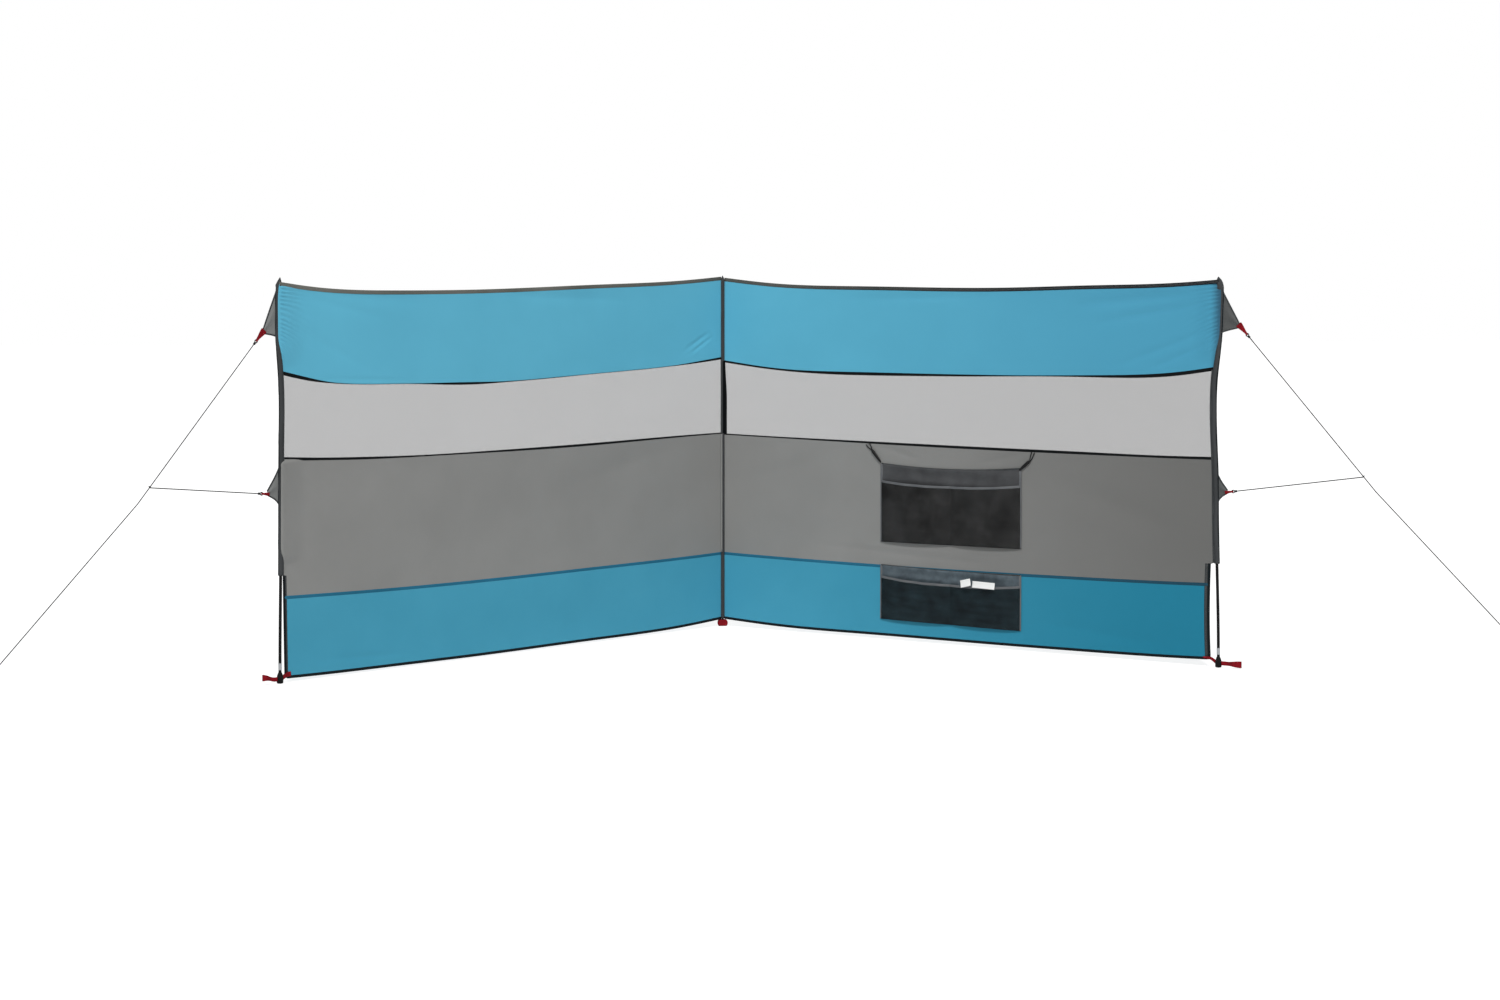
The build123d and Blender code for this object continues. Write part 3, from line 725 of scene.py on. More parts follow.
@dataclass(frozen=True)
class Wing:
    """One wing: its place in the windbreak, its seam lines and how its cloth hangs."""

    side: Side
    top: SaggingLine
    window_top: SaggingLine
    window_bottom: SaggingLine
    skirt: SaggingLine
    hem: SaggingLine
    creases: tuple[Crease, ...]
    bow: SaggingLine
    window_top_tape: SaggingLine
    window_bottom_tape: SaggingLine
    seed: int
    wrap_turn: float
    grey_cover: float
    length: float = 2.240
    half_angle: float = math.radians(52.5)
    pole_height: float = 1.500
    sleeve_radius: float = 9.0 * MM
    sleeve_bottom: float = 0.398
    inner_edge: float = 9.5 * MM
    edge_setback_high: float = 17.0 * MM
    edge_setback_low: float = 25.0 * MM
    edge_hollow: float = 0.0
    billow: float = 10.0 * MM
    undulation: float = 0.9 * MM
    pucker_depth: float = 3.0 * MM
    pucker_pitch: float = 16.0 * MM
    pucker_reach: float = 38.0 * MM
    pucker_sway: float = 1.6
    pucker_sway_pitch: float = 130.0 * MM
    wrap_reach: float = 110.0 * MM
    blue_wrap_rise: float = 130.0 * MM
    grey_wrap_bottom: float = 430.0 * MM
    grey_wrap_rise: float = 70.0 * MM
    calm_margin: float = 100.0 * MM
    fan_height: float = 330.0 * MM
    fan_least: float = 6.0
    fan_more: float = 46.0

    def place(self, s: np.ndarray, y: np.ndarray, z: np.ndarray) -> np.ndarray:
        """World points, or directions, from a wing's own: turned by half the angle between the wings."""
        s, y, z = np.broadcast_arrays(s, y, z)
        x = s * math.sin(self.half_angle) + y * math.cos(self.half_angle)
        depth = -s * math.cos(self.half_angle) + y * math.sin(self.half_angle)
        return np.stack([self.side.hand * x, depth, z], axis=-1)

    def cover(self, z: np.ndarray) -> np.ndarray:
        """How far the cloth goes over the end sleeve's face at a height, from 0 to 1.

        It goes over it beside the blue band and, on the left, the upper part of the grey band.
        Beside the window the sleeve lies bare.
        """
        blue = smooth((z - self.window_top.heights[-1] - 5 * MM) / self.blue_wrap_rise)
        upper = smooth((self.window_bottom.heights[-1] - 4 * MM - z) / (12 * MM))
        lower = smooth((z - self.grey_wrap_bottom) / self.grey_wrap_rise)
        return blue + self.grey_cover * upper * lower

    def outer_edge(self, z: np.ndarray) -> np.ndarray:
        """Where the cloth ends at its outer side: on the end sleeve, or at the slanted free edge below."""
        turn = self.cover(z) * self.wrap_turn
        on_sleeve = self.length - self.bow.at(z) - (self.sleeve_radius + 0.6 * MM) * np.cos(turn)
        share = 1.0 - z / self.sleeve_bottom
        slant = self.edge_setback_low - self.edge_setback_high
        free = self.length - self.edge_setback_high - share * slant
        free = free - self.edge_hollow * np.sin(np.pi * np.clip(share, 0, 1))
        return np.where(z > self.sleeve_bottom, on_sleeve, free)

    def drape(self, s: np.ndarray, z: np.ndarray) -> np.ndarray:
        """How far the cloth stands off the wing's plane, away from the sheltered side.

        The sum of a wide billow (sine along the wing times sine up it), slow ripples (eight sine
        waves with seeded lengths and directions), single creases, puckers that fan out from the end
        sleeve (a sine whose level lines fall away from it, fading with distance) and the wrap that
        brings the cloth in front of that sleeve.
        """
        clear = smooth(s / self.calm_margin) * smooth((self.length - s) / self.calm_margin)
        height = np.clip(z / self.pole_height, 0.0, 1.0)
        lift = self.billow * np.sin(np.pi * np.clip(s / self.length, 0, 1)) * np.sin(np.pi * height) ** 0.5
        random = np.random.default_rng(self.seed)
        for _ in range(8):
            wave_length = random.uniform(0.16, 0.60)
            lean = random.uniform(-1.1, 1.1)
            start = random.uniform(0.0, 2.0 * math.pi)
            run = s * math.sin(lean) + z * math.cos(lean)
            wave = np.sin(2.0 * np.pi * run / wave_length + start)
            lift = lift + clear * self.undulation * wave_length * wave
        for crease in self.creases:
            lift = lift + crease.lift(s, z)
        off = np.clip(self.length - self.bow.at(z) - s, 0.0, None)
        down = np.clip((self.top.heights[-1] - z) / self.fan_height, 0.0, 1.0)
        fall = np.tan(np.radians(self.fan_least + self.fan_more * down**1.5))
        turn = 2.0 * np.pi * (z + fall * off) / self.pucker_pitch
        turn = turn + self.pucker_sway * np.sin(2.0 * np.pi * z / self.pucker_sway_pitch)
        fade = np.exp(-off / self.pucker_reach) * smooth(off / (12 * MM))
        lift = lift + self.pucker_depth * np.sin(turn) * fade * np.clip(self.cover(z), 0.0, 1.0)
        reach = smooth((self.wrap_reach - off) / (self.wrap_reach - self.sleeve_radius))
        round_sleeve = np.sin(np.clip(self.cover(z) * self.wrap_turn, 0.0, math.pi / 2))
        return lift - (self.sleeve_radius + 1.4 * MM) * round_sleeve * reach

    def on_cloth(self, s: np.ndarray, z: np.ndarray, stand: float = 0.0) -> np.ndarray:
        """World points on the cloth, or stand metres off it on the sheltered side."""
        s, z = np.broadcast_arrays(s, z)
        return self.place(s, self.drape(s, z) - stand, z)

    def flat_tape(self, path: np.ndarray, profile: np.ndarray) -> Patch:
        """A tape along a path, its width in the wing's plane and its thickness through the plane."""
        through = np.broadcast_to(self.place(0.0, 1.0, 0.0), path.shape)
        return swept(path, unit(np.cross(tangents(path), through)), through, profile)


LEFT_WING = Wing(
    Side.LEFT,
    top=SaggingLine((1.488, 1.471, 1.457, 1.441, 1.440, 1.453, 1.474)),
    window_top=SaggingLine((1.147, 1.123, 1.100, 1.080, 1.089, 1.110, 1.148)),
    window_bottom=SaggingLine((0.826, 0.822, 0.812, 0.807, 0.809, 0.820, 0.829)),
    skirt=SaggingLine((0.312, 0.307, 0.303, 0.300, 0.303, 0.311, 0.316)),
    hem=SaggingLine((0.036, 0.021, 0.015, 0.012, 0.014, 0.017, 0.021)),
    creases=(
        Crease((0.07, 1.262), (0.24, 1.168), 9 * MM, 3.6 * MM),
        Crease((0.05, 1.245), (0.20, 1.160), 7 * MM, 3.0 * MM),
        Crease((2.20, 1.455), (1.55, 1.400), 26 * MM, 4.0 * MM),
        Crease((2.20, 1.440), (1.75, 1.340), 22 * MM, 3.0 * MM),
        Crease((2.20, 1.330), (1.80, 1.130), 24 * MM, 2.6 * MM),
        Crease((1.20, 1.425), (0.50, 1.400), 20 * MM, 2.6 * MM),
        Crease((2.10, 1.120), (1.60, 1.100), 10 * MM, 1.6 * MM),
        Crease((2.05, 0.780), (2.03, 0.730), 5 * MM, 1.8 * MM),
        Crease((1.80, 0.790), (1.79, 0.750), 5 * MM, 1.4 * MM),
        Crease((2.18, 0.790), (2.02, 0.640), 9 * MM, 1.6 * MM),
        Crease((0.20, 0.800), (0.90, 0.640), 40 * MM, 3.0 * MM),
        Crease((2.10, 0.070), (1.60, 0.050), 12 * MM, 1.8 * MM),
    ),
    bow=SaggingLine(
        (0.0, 0.0, 0.0025, 0.003, 0.0045, 0.0045, -0.001, -0.008, -0.010, -0.008, 0.0),
        (0.0, 0.13, 0.40, 0.60, 0.90, 1.08, 1.17, 1.26, 1.36, 1.45, 1.50),
    ),
    window_top_tape=SaggingLine(
        (0.010, 0.0075, 0.0025, 0.002, 0.004, 0.0095, 0.007, 0.002, 0.0015, 0.0045, 0.0115, 0.0145),
        (0.0, 0.12, 0.26, 0.95, 1.18, 1.33, 1.50, 1.62, 1.93, 2.02, 2.11, 2.24),
    ),
    window_bottom_tape=SaggingLine(
        (0.0048, 0.0062, 0.0095, 0.0095, 0.0068, 0.0058, 0.0095, 0.0095, 0.0140),
        (0.0, 0.20, 0.70, 0.93, 1.27, 1.60, 1.90, 2.00, 2.24),
    ),
    seed=11,
    wrap_turn=math.radians(126.0),
    grey_cover=1.0,
    inner_edge=9.2 * MM,
)

RIGHT_WING = Wing(
    Side.RIGHT,
    top=SaggingLine((1.484, 1.460, 1.449, 1.446, 1.457, 1.468, 1.481)),
    window_top=SaggingLine((1.134, 1.106, 1.094, 1.099, 1.106, 1.122, 1.149)),
    window_bottom=SaggingLine((0.822, 0.817, 0.810, 0.803, 0.801, 0.800, 0.802)),
    skirt=SaggingLine((0.312, 0.307, 0.302, 0.302, 0.306, 0.312, 0.317)),
    hem=SaggingLine((0.037, 0.024, 0.021, 0.021, 0.023, 0.028, 0.034)),
    creases=(
        Crease((2.20, 1.440), (1.60, 1.380), 24 * MM, 4.0 * MM),
        Crease((2.20, 1.400), (1.70, 1.310), 20 * MM, 3.2 * MM),
        Crease((2.21, 1.300), (1.80, 1.140), 16 * MM, 3.0 * MM),
        Crease((2.21, 1.250), (1.95, 1.135), 12 * MM, 2.4 * MM),
        Crease((0.60, 1.400), (1.30, 1.420), 18 * MM, 2.2 * MM),
        Crease((0.75, 0.800), (0.95, 0.745), 12 * MM, 2.2 * MM),
        Crease((1.42, 0.790), (1.20, 0.740), 12 * MM, 2.2 * MM),
        Crease((0.40, 0.380), (1.30, 0.335), 14 * MM, 2.2 * MM),
        Crease((0.05, 0.600), (0.55, 0.760), 30 * MM, 2.0 * MM),
        Crease((1.50, 0.700), (2.10, 0.500), 45 * MM, 3.0 * MM),
        Crease((1.45, 0.120), (2.05, 0.070), 20 * MM, 2.0 * MM),
    ),
    bow=SaggingLine(
        (0.0, 0.0004, 0.006, 0.0095, 0.011, 0.015, 0.018, 0.013, 0.002, -0.006, -0.010, -0.009, 0.0),
        (0.0, 0.13, 0.40, 0.60, 0.75, 0.85, 1.03, 1.12, 1.21, 1.30, 1.40, 1.46, 1.50),
    ),
    window_top_tape=SaggingLine(
        (0.0092, 0.0082, 0.0130, 0.0105, 0.0072, 0.0038, 0.0065, 0.0135, 0.0140),
        (0.0, 0.30, 0.60, 0.95, 1.20, 1.45, 1.65, 1.94, 2.24),
    ),
    window_bottom_tape=SaggingLine(
        (0.0052, 0.0058, 0.0080, 0.0102, 0.0110, 0.0104, 0.0090, 0.0115),
        (0.0, 0.30, 0.60, 0.95, 1.30, 1.70, 1.90, 2.24),
    ),
    seed=23,
    wrap_turn=math.radians(114.0),
    grey_cover=0.0,
    edge_setback_high=36.0 * MM,
    edge_setback_low=35.0 * MM,
    edge_hollow=5.0 * MM,
)


def cloth_shares(length: float, fine: float, coarse: float, margin: float) -> np.ndarray:
    """Shares of a length from 0 to 1, fine apart within a margin of each end and coarse between."""
    near = np.arange(0.0, margin, fine)
    middle = np.linspace(margin, length - margin, round((length - 2.0 * margin) / coarse) + 1)
    return np.concatenate([near, middle, length - near[::-1]]) / length


@dataclass(frozen=True)
class WingCloth:
    """The four strips of cloth and film that a wing is sewn from."""

    wing: Wing
    thickness: float = 0.8 * MM
    fine: float = 5.0 * MM
    coarse: float = 14.0 * MM
    margin: float = 0.16

    def strip(
        self, name: str, node: str, slot: str, finish: Finish, low: SaggingLine, high: SaggingLine, row: float
    ) -> bpy.types.Object:
        """One strip between two lines, as a grid.

        Each column runs from the low line to the high one in even steps. Each row runs from the
        middle pole's sleeve to the outer edge at its own height.

        Args:
            name: The piece's name without its side.
            node: The node that it stands for, without its side.
            slot: Not used.
            finish: Its finish.
            low: Its lower line.
            high: Its upper line.
            row: About how far apart its rows are.

        Returns:
            The strip, on its wing's body.
        """
        wing = self.wing
        ends = wing.length
        span = float(high.at(np.array(ends)) - low.at(np.array(ends)))
        up = np.linspace(0.0, 1.0, round(span / row) + 1)[:, None]
        along = cloth_shares(wing.length, self.fine, self.coarse, self.margin)[None, :]
        edge_z = low.at(np.array(ends)) + up * span
        s = wing.inner_edge + (wing.outer_edge(edge_z) - wing.inner_edge) * along
        z = low.at(s) + up * (high.at(s) - low.at(s))
        patch = sheet_patch(wing.on_cloth(s, z), np.stack([s, z], axis=-1))
        made = piece(f"{name}_{wing.side.value}", patch, finish.material(), self.thickness)
        declare(made, wing.side.body, f"{node}_{wing.side.value}")
        return made

    def build(self) -> None:
        """Makes the four strips."""
        wing = self.wing
        bottom, top = wing.window_bottom, wing.window_top
        self.strip("blue_band", "top_band", "blue_cloth", BLUE_CLOTH, top, wing.top, 3.2 * MM)
        self.strip("window_film", "window", "window_film", FILM, bottom, top, 12 * MM)
        self.strip("grey_band", "middle_band", "grey_cloth", GREY_CLOTH, wing.skirt, bottom, 6 * MM)
        self.strip("blue_skirt", "skirt_band", "skirt_cloth", SKIRT_CLOTH, wing.hem, wing.skirt, 7 * MM)


@dataclass(frozen=True)
class WingTapes:
    """The tapes that edge a wing, cover its seams and bind its hem and free corner."""

    wing: Wing
    step: float = 12.0 * MM
    top_height: float = 15.5 * MM
    thickness: float = 2.6 * MM
    skirt_seam_height: float = 12.0 * MM
    binding_width: float = 11.0 * MM
    strip_width: float = 6.0 * MM
    narrowest: float = 1.0 * MM
    hem_narrow: float = 4.0 * MM
    hem_wide: float = 12.0 * MM

    def along(self, line: SaggingLine, end: float | None = None) -> tuple[np.ndarray, np.ndarray]:
        """Places s and z along a line, from the middle sleeve to an end or to the cloth's outer edge."""
        wing = self.wing
        start = wing.inner_edge
        if end is None:
            end = float(wing.outer_edge(line.at(np.array(wing.length)))) - 0.5 * MM
        s = np.linspace(start, end, round((end - start) / self.step) + 1)
        return s, line.at(s)

    def tape(self, s: np.ndarray, z: np.ndarray, profile: np.ndarray) -> Patch:
        """A tape that follows the cloth, its width up the wing and its thickness through it."""
        path = self.wing.on_cloth(s, z)
        up = np.broadcast_to(self.wing.place(0.0, 0.0, 1.0), path.shape)
        through = np.broadcast_to(self.wing.place(0.0, 1.0, 0.0), path.shape)
        return swept(path, up, through, profile)

    def seam(self, line: SaggingLine, widths: SaggingLine) -> Patch:
        """A seam whose tape shows wide and narrow by turns, as the blue cloth's edge rides over it."""
        s, z = self.along(line)
        return self.tape(s, z, tape_profiles(np.clip(widths.at(s), self.narrowest, None), self.thickness))

    def binding(self) -> Patch:
        """The hem's tape, which turns up the free outer edge to the sleeve in one length."""
        wing = self.wing
        corner = float(wing.outer_edge(np.array(0.03)))
        s, z = self.along(wing.hem, corner - 4.0 * MM)
        rise = np.linspace(z[-1] + 8.0 * MM, wing.sleeve_bottom - 1.0 * MM, 30)
        s = np.concatenate([s, wing.outer_edge(rise)])
        z = np.concatenate([z, rise])
        path = resampled(np.stack([s, np.zeros_like(s), z], axis=1), self.step * 0.8)
        points = wing.on_cloth(path[:, 0], path[:, 2])
        return wing.flat_tape(points, slab_profile(self.binding_width, self.thickness))

    def edge_strip(self) -> Patch:
        """A grey strip just inside the binding of the free outer edge."""
        wing = self.wing
        z = np.linspace(0.035, wing.sleeve_bottom - 2.0 * MM, 30)
        inward = (self.binding_width + self.strip_width) / 2 - 0.5 * MM
        points = wing.on_cloth(wing.outer_edge(z) - inward, z)
        return wing.flat_tape(points, slab_profile(self.strip_width, 0.8 * self.thickness))

    def window_hem(self) -> Patch:
        """The hem down the window's inner edge, which widens downwards by a step with level ends."""
        wing = self.wing
        start = np.array(wing.inner_edge)
        z = np.linspace(float(wing.window_top.at(start)), float(wing.window_bottom.at(start)), 40)
        share = smooth((z[0] - z) / 0.16)
        width = self.hem_narrow + (self.hem_wide - self.hem_narrow) * share
        path = wing.on_cloth(wing.inner_edge + width / 2, z)
        return wing.flat_tape(path, tape_profiles(width, self.thickness))

    def finish_piece(self, name: str, patch: Patch, finish: Finish, node: str) -> None:
        """Makes a tape a piece that rides with its wing and stands for its node, if it has one."""
        side = self.wing.side
        made = piece(f"{name}_{side.value}", patch, finish.material())
        declare(made, side.body, f"{node}_{side.value}" if node else "")

    def build(self) -> None:
        """Makes the top tape, the window's seams, the skirt's seam, the edge strip and the binding."""
        wing = self.wing
        s, z = self.along(wing.top)
        top = self.tape(s, z, slab_profile(self.top_height, self.thickness))
        self.finish_piece("top_edge_tape", top, EDGE_TAPE, "top_tape")
        seams = [
            self.seam(wing.window_top, wing.window_top_tape),
            self.seam(wing.window_bottom, wing.window_bottom_tape),
        ]
        if wing.side is Side.RIGHT:
            seams.append(self.window_hem())
        self.finish_piece("sewn_seams", joined(seams), SEAM_TAPE, "seam_tapes")
        s, z = self.along(wing.skirt)
        low_seam = self.tape(s, z, slab_profile(self.skirt_seam_height, self.thickness))
        self.finish_piece("skirt_seam", low_seam, SKIRT_SEAM, "")
        self.finish_piece("edge_strip", self.edge_strip(), HEM_TAPE, "")
        self.finish_piece("hem_binding", self.binding(), BINDING_TAPE, "edge_binding")


@dataclass(frozen=True)
class PoleSleeve:
    """A cloth tube round a pole, with a sewn point at its head and a tail where the cloth joins it."""

    name: str
    node: str
    body: str
    centre: tuple[float, float]
    tail_turn: float
    bottom: float
    tail: float
    radius: float = 9.0 * MM
    head: float = 1.500
    point: float = 21.0 * MM
    crown: float = 0.0
    blunt: float = 1.25
    wobble: float = 1.2 * MM
    wall: float = 1.2 * MM
    step: float = 7.0 * MM
    sides: int = 28
    cloth: Finish = SLEEVE_CLOTH
    wing: Wing | None = None

    def build(self) -> None:
        """Makes the tube as a grid of turn and height.

        Its radius is the sleeve's, plus a tail that fades away from the cloth's direction as the
        twelfth power of a cosine, plus small gathers and a crown where the cap is sewn on. Over the
        last stretch it closes by a power of the height. Its middle wanders by slow sines, as loose
        cloth on a rod does.
        """
        rise = np.concatenate(
            [
                np.arange(self.bottom, self.head - self.point, self.step),
                np.linspace(self.head - self.point, self.head, 9),
            ]
        )[:, None]
        turn = np.linspace(0.0, 2.0 * np.pi, self.sides, endpoint=False)[None, :]
        share = np.clip((rise - (self.head - self.point)) / self.point, 0.0, 1.0)
        close = 1.0 - 0.93 * share**self.blunt
        tail = self.tail * np.clip(np.cos(turn - self.tail_turn), 0.0, 1.0) ** 12 * (1.0 - smooth(share * 3))
        gather = 0.25 * MM * np.sin(5.0 * turn + 2.0 * np.pi * rise / 0.031)
        gather = gather * np.sin(2.0 * np.pi * rise / 0.17)
        gather = gather + self.crown * smooth((rise - (self.head - self.point) + 0.012) / 0.008)
        radius = (self.radius + gather) * close + tail
        away = self.wobble * np.sin(2.0 * np.pi * rise / 0.19) * smooth((self.head - rise) / 0.05)
        drift = self.wobble * np.sin(2.0 * np.pi * rise / 0.27 + 1.0) * smooth((self.head - rise) / 0.05)
        points = np.stack(
            [
                self.centre[0] + away + radius * np.cos(turn),
                self.centre[1] + drift + radius * np.sin(turn),
                np.broadcast_to(rise, radius.shape),
            ],
            axis=-1,
        )
        if self.wing:
            points = points + self.wing.place(-self.wing.bow.at(rise), 0.0, 0.0)
        uv = np.stack(np.broadcast_arrays(rise, self.radius * turn), axis=-1)
        faces = grid_faces(len(rise), self.sides, round_cols=True)
        faces.append([(len(rise) - 1) * self.sides + i for i in range(self.sides)])
        patch = Patch(points.reshape(-1, 3), faces, uv.reshape(-1, 2))
        made = piece(self.name, patch, self.cloth.material())
        wall = made.modifiers.new("cloth thickness", "SOLIDIFY")
        wall.thickness = self.wall
        wall.offset = -1.0
        declare(made, self.body, self.node)


@dataclass(frozen=True)
class SleeveTrim:
    """A wing's end sleeve's dark outer seam and the tape beside it on the window's outer edge."""

    wing: Wing
    seam_radius: float
    edge_width: float
    edge_bottom: float
    seam_top: float = 1.462
    step: float = 10.0 * MM

    def build(self) -> None:
        """Makes the seam as a round cord down the sleeve's outer side, and the flat tape."""
        wing = self.wing
        z = np.arange(wing.sleeve_bottom + 2.0 * MM, self.seam_top, self.step)
        outer = wing.length - wing.bow.at(z) + wing.sleeve_radius + 0.3 * self.seam_radius
        path = wing.place(outer, 0.0, z)
        along = np.broadcast_to(wing.place(1.0, 0.0, 0.0), path.shape)
        through = np.broadcast_to(wing.place(0.0, 1.0, 0.0), path.shape)
        seam = swept(path, along, through, round_profile(self.seam_radius))
        z = np.arange(self.edge_bottom, wing.window_top.heights[-1], self.step)
        path = wing.on_cloth(wing.outer_edge(z) - self.edge_width / 2 + 1.0 * MM, z, 0.8 * MM)
        tape = wing.flat_tape(path, slab_profile(self.edge_width, 2.0 * MM))
        trims = (("sleeve_seam", seam, BINDING_TAPE), ("window_edge_tape", tape, HEM_TAPE))
        for name, patch, finish in trims:
            made = piece(f"{name}_{wing.side.value}", patch, finish.material())
            declare(made, wing.side.body)


@dataclass(frozen=True)
class MiddleTrim:
    """A band of cloth sewn on the middle sleeve: its own curve, over a part of a turn."""

    name: str
    finish: Finish
    slot: str
    turns: tuple[float, float]
    heights: tuple[float, float]
    radius: float = 9.0 * MM

    def build(self) -> None:
        """A grid of turn, in degrees from the right, and height."""
        turn, z = np.meshgrid(np.radians(np.linspace(*self.turns, 14)), np.linspace(*self.heights, 40))
        points = np.stack([self.radius * np.cos(turn), self.radius * np.sin(turn), z], axis=-1)
        uv = np.stack([z, self.radius * turn], axis=-1)
        made = piece(self.name, sheet_patch(points, uv), self.finish.material(), 0.6 * MM)
        declare(made, Side.LEFT.body)


@dataclass(frozen=True)
class BowedRod:
    """An end pole's rod, bowed by the pull of the cloth sleeve on it."""

    wing: Wing
    radius: float = 5.8 * MM
    low: float = 6.0 * MM
    high: float = 1.484
    step: float = 10.0 * MM

    def build(self) -> None:
        """A circle carried up the bowed line. It stands for the straight rod."""
        wing = self.wing
        z = np.linspace(self.low, self.high, round((self.high - self.low) / self.step) + 1)
        path = wing.place(wing.length - wing.bow.at(z), 0.0, z)
        along = np.broadcast_to(wing.place(1.0, 0.0, 0.0), path.shape)
        through = np.broadcast_to(wing.place(0.0, 1.0, 0.0), path.shape)
        patch = swept(path, along, through, round_profile(self.radius, 20))
        made = piece(f"bowed_rod_{wing.side.value}", patch, ROD.material())
        declare(made, wing.side.body, f"pole_{wing.side.value}")


@dataclass(frozen=True)
class GuyFlap:
    """A hemmed cloth triangle on the end sleeve, with webbing folded over its tip for the guy line."""

    wing: Wing
    level: str
    top: float
    bottom: float
    tip: float
    reach: float
    slope: float
    hollow: float
    hem: float = 6.0 * MM
    thickness: float = 0.9 * MM
    cut: float = 0.90
    web_width: float = 24.0 * MM
    nose_width: float = 7.0 * MM
    web_thickness: float = 1.6 * MM
    tail: float = 14.0 * MM
    nose: float = 36.0 * MM
    bore: float = 4.8 * MM

    def corner(self, u: np.ndarray, v: np.ndarray) -> tuple[np.ndarray, np.ndarray]:
        """Places (s, z) on the flap, u from the sleeve to the tip and v from its top edge down.

        A straight blend of the base and the tip, with both edges drawn in by a sine of u.
        """
        low = self.bottom + self.hollow * np.sin(np.pi * u)
        high = self.top - self.hollow * np.sin(np.pi * u)
        level = high + (low - high) * v
        base = self.wing.length - self.wing.bow.at(level) + self.wing.sleeve_radius - 1.0 * MM
        s = base + (self.reach + self.wing.length - base) * u
        return s, level * (1.0 - u) + self.tip * u

    def surface(self, u: np.ndarray, v: np.ndarray) -> np.ndarray:
        """World points of the flap, with three soft folds that run to the tip and fade at both ends."""
        s, z = self.corner(u, v)
        folds = 2.2 * MM * np.sin(3.0 * np.pi * v + 0.7) * np.sin(np.pi * u) ** 0.8
        return self.wing.place(s, folds, z)

    def cloth(self) -> bpy.types.Object:
        """The triangle itself, as a grid that narrows to the webbing."""
        u, v = np.meshgrid(np.linspace(0.0, self.cut, 26), np.linspace(0.0, 1.0, 30), indexing="ij")
        s, z = self.corner(u, v)
        patch = sheet_patch(self.surface(u, v), np.stack([s, z], axis=-1))
        name = f"guy_flap_{self.level}_{self.wing.side.value}"
        made = piece(name, patch, FLAP_CLOTH.material(), self.thickness)
        declare(made, self.wing.side.body, f"{self.level}_flap_{self.wing.side.value}")
        return made

    def hems(self) -> list[Patch]:
        """Tapes along the two free edges, and one down the seam on the sleeve."""
        u = np.linspace(0.0, self.cut, 24)
        down = np.linspace(0.0, 1.0, 20)
        paths = [
            self.surface(u, np.full_like(u, 0.02)),
            self.surface(u, np.full_like(u, 0.98)),
            self.surface(np.full_like(down, 0.03), down),
        ]
        return [self.wing.flat_tape(path, slab_profile(self.hem, 2.4 * MM)) for path in paths]

    def pull(self) -> tuple[np.ndarray, np.ndarray, np.ndarray]:
        """The flap's tip, the direction of the guy line and the one square to it in the wing."""
        angle = math.radians(self.slope)
        tip = self.wing.place(self.wing.length + self.reach, 0.0, self.tip)
        return (
            tip,
            self.wing.place(math.cos(angle), 0.0, -math.sin(angle)),
            self.wing.place(math.sin(angle), 0.0, math.cos(angle)),
        )

    def loop(self) -> Patch:
        """Webbing that lies on one face of the tip, turns round the bore and comes back on the other.

        Its path is two straight runs and half a circle. Its width narrows from the flap to the bore.
        """
        tip, out, square = self.pull()
        through = self.wing.place(0.0, 1.0, 0.0)
        lie = 1.3 * MM + self.web_thickness / 2
        turn_radius = self.bore / 2 + self.web_thickness / 2
        turn = np.linspace(-np.pi / 2, np.pi / 2, 13)
        run = np.linspace(-self.tail, self.nose, 12)[:-1]
        ease = lie + (turn_radius - lie) * smooth((run + self.tail) / (self.tail + self.nose))
        ahead = np.concatenate([run, self.nose + turn_radius * np.cos(turn), run[::-1]])
        aside = np.concatenate([-ease, turn_radius * np.sin(turn), ease[::-1]])
        path = tip + ahead[:, None] * out + aside[:, None] * through
        share = smooth((ahead + self.tail) / (self.tail + self.nose))
        width = self.web_width + (self.nose_width - self.web_width) * share
        return carried(path, square, tape_profiles(width, self.web_thickness))

    def eye_place(self) -> np.ndarray:
        """The middle of the guy line's eye, in the turn of the webbing."""
        tip, out, _ = self.pull()
        return tip + (self.nose + self.bore / 2 + self.web_thickness / 2) * out


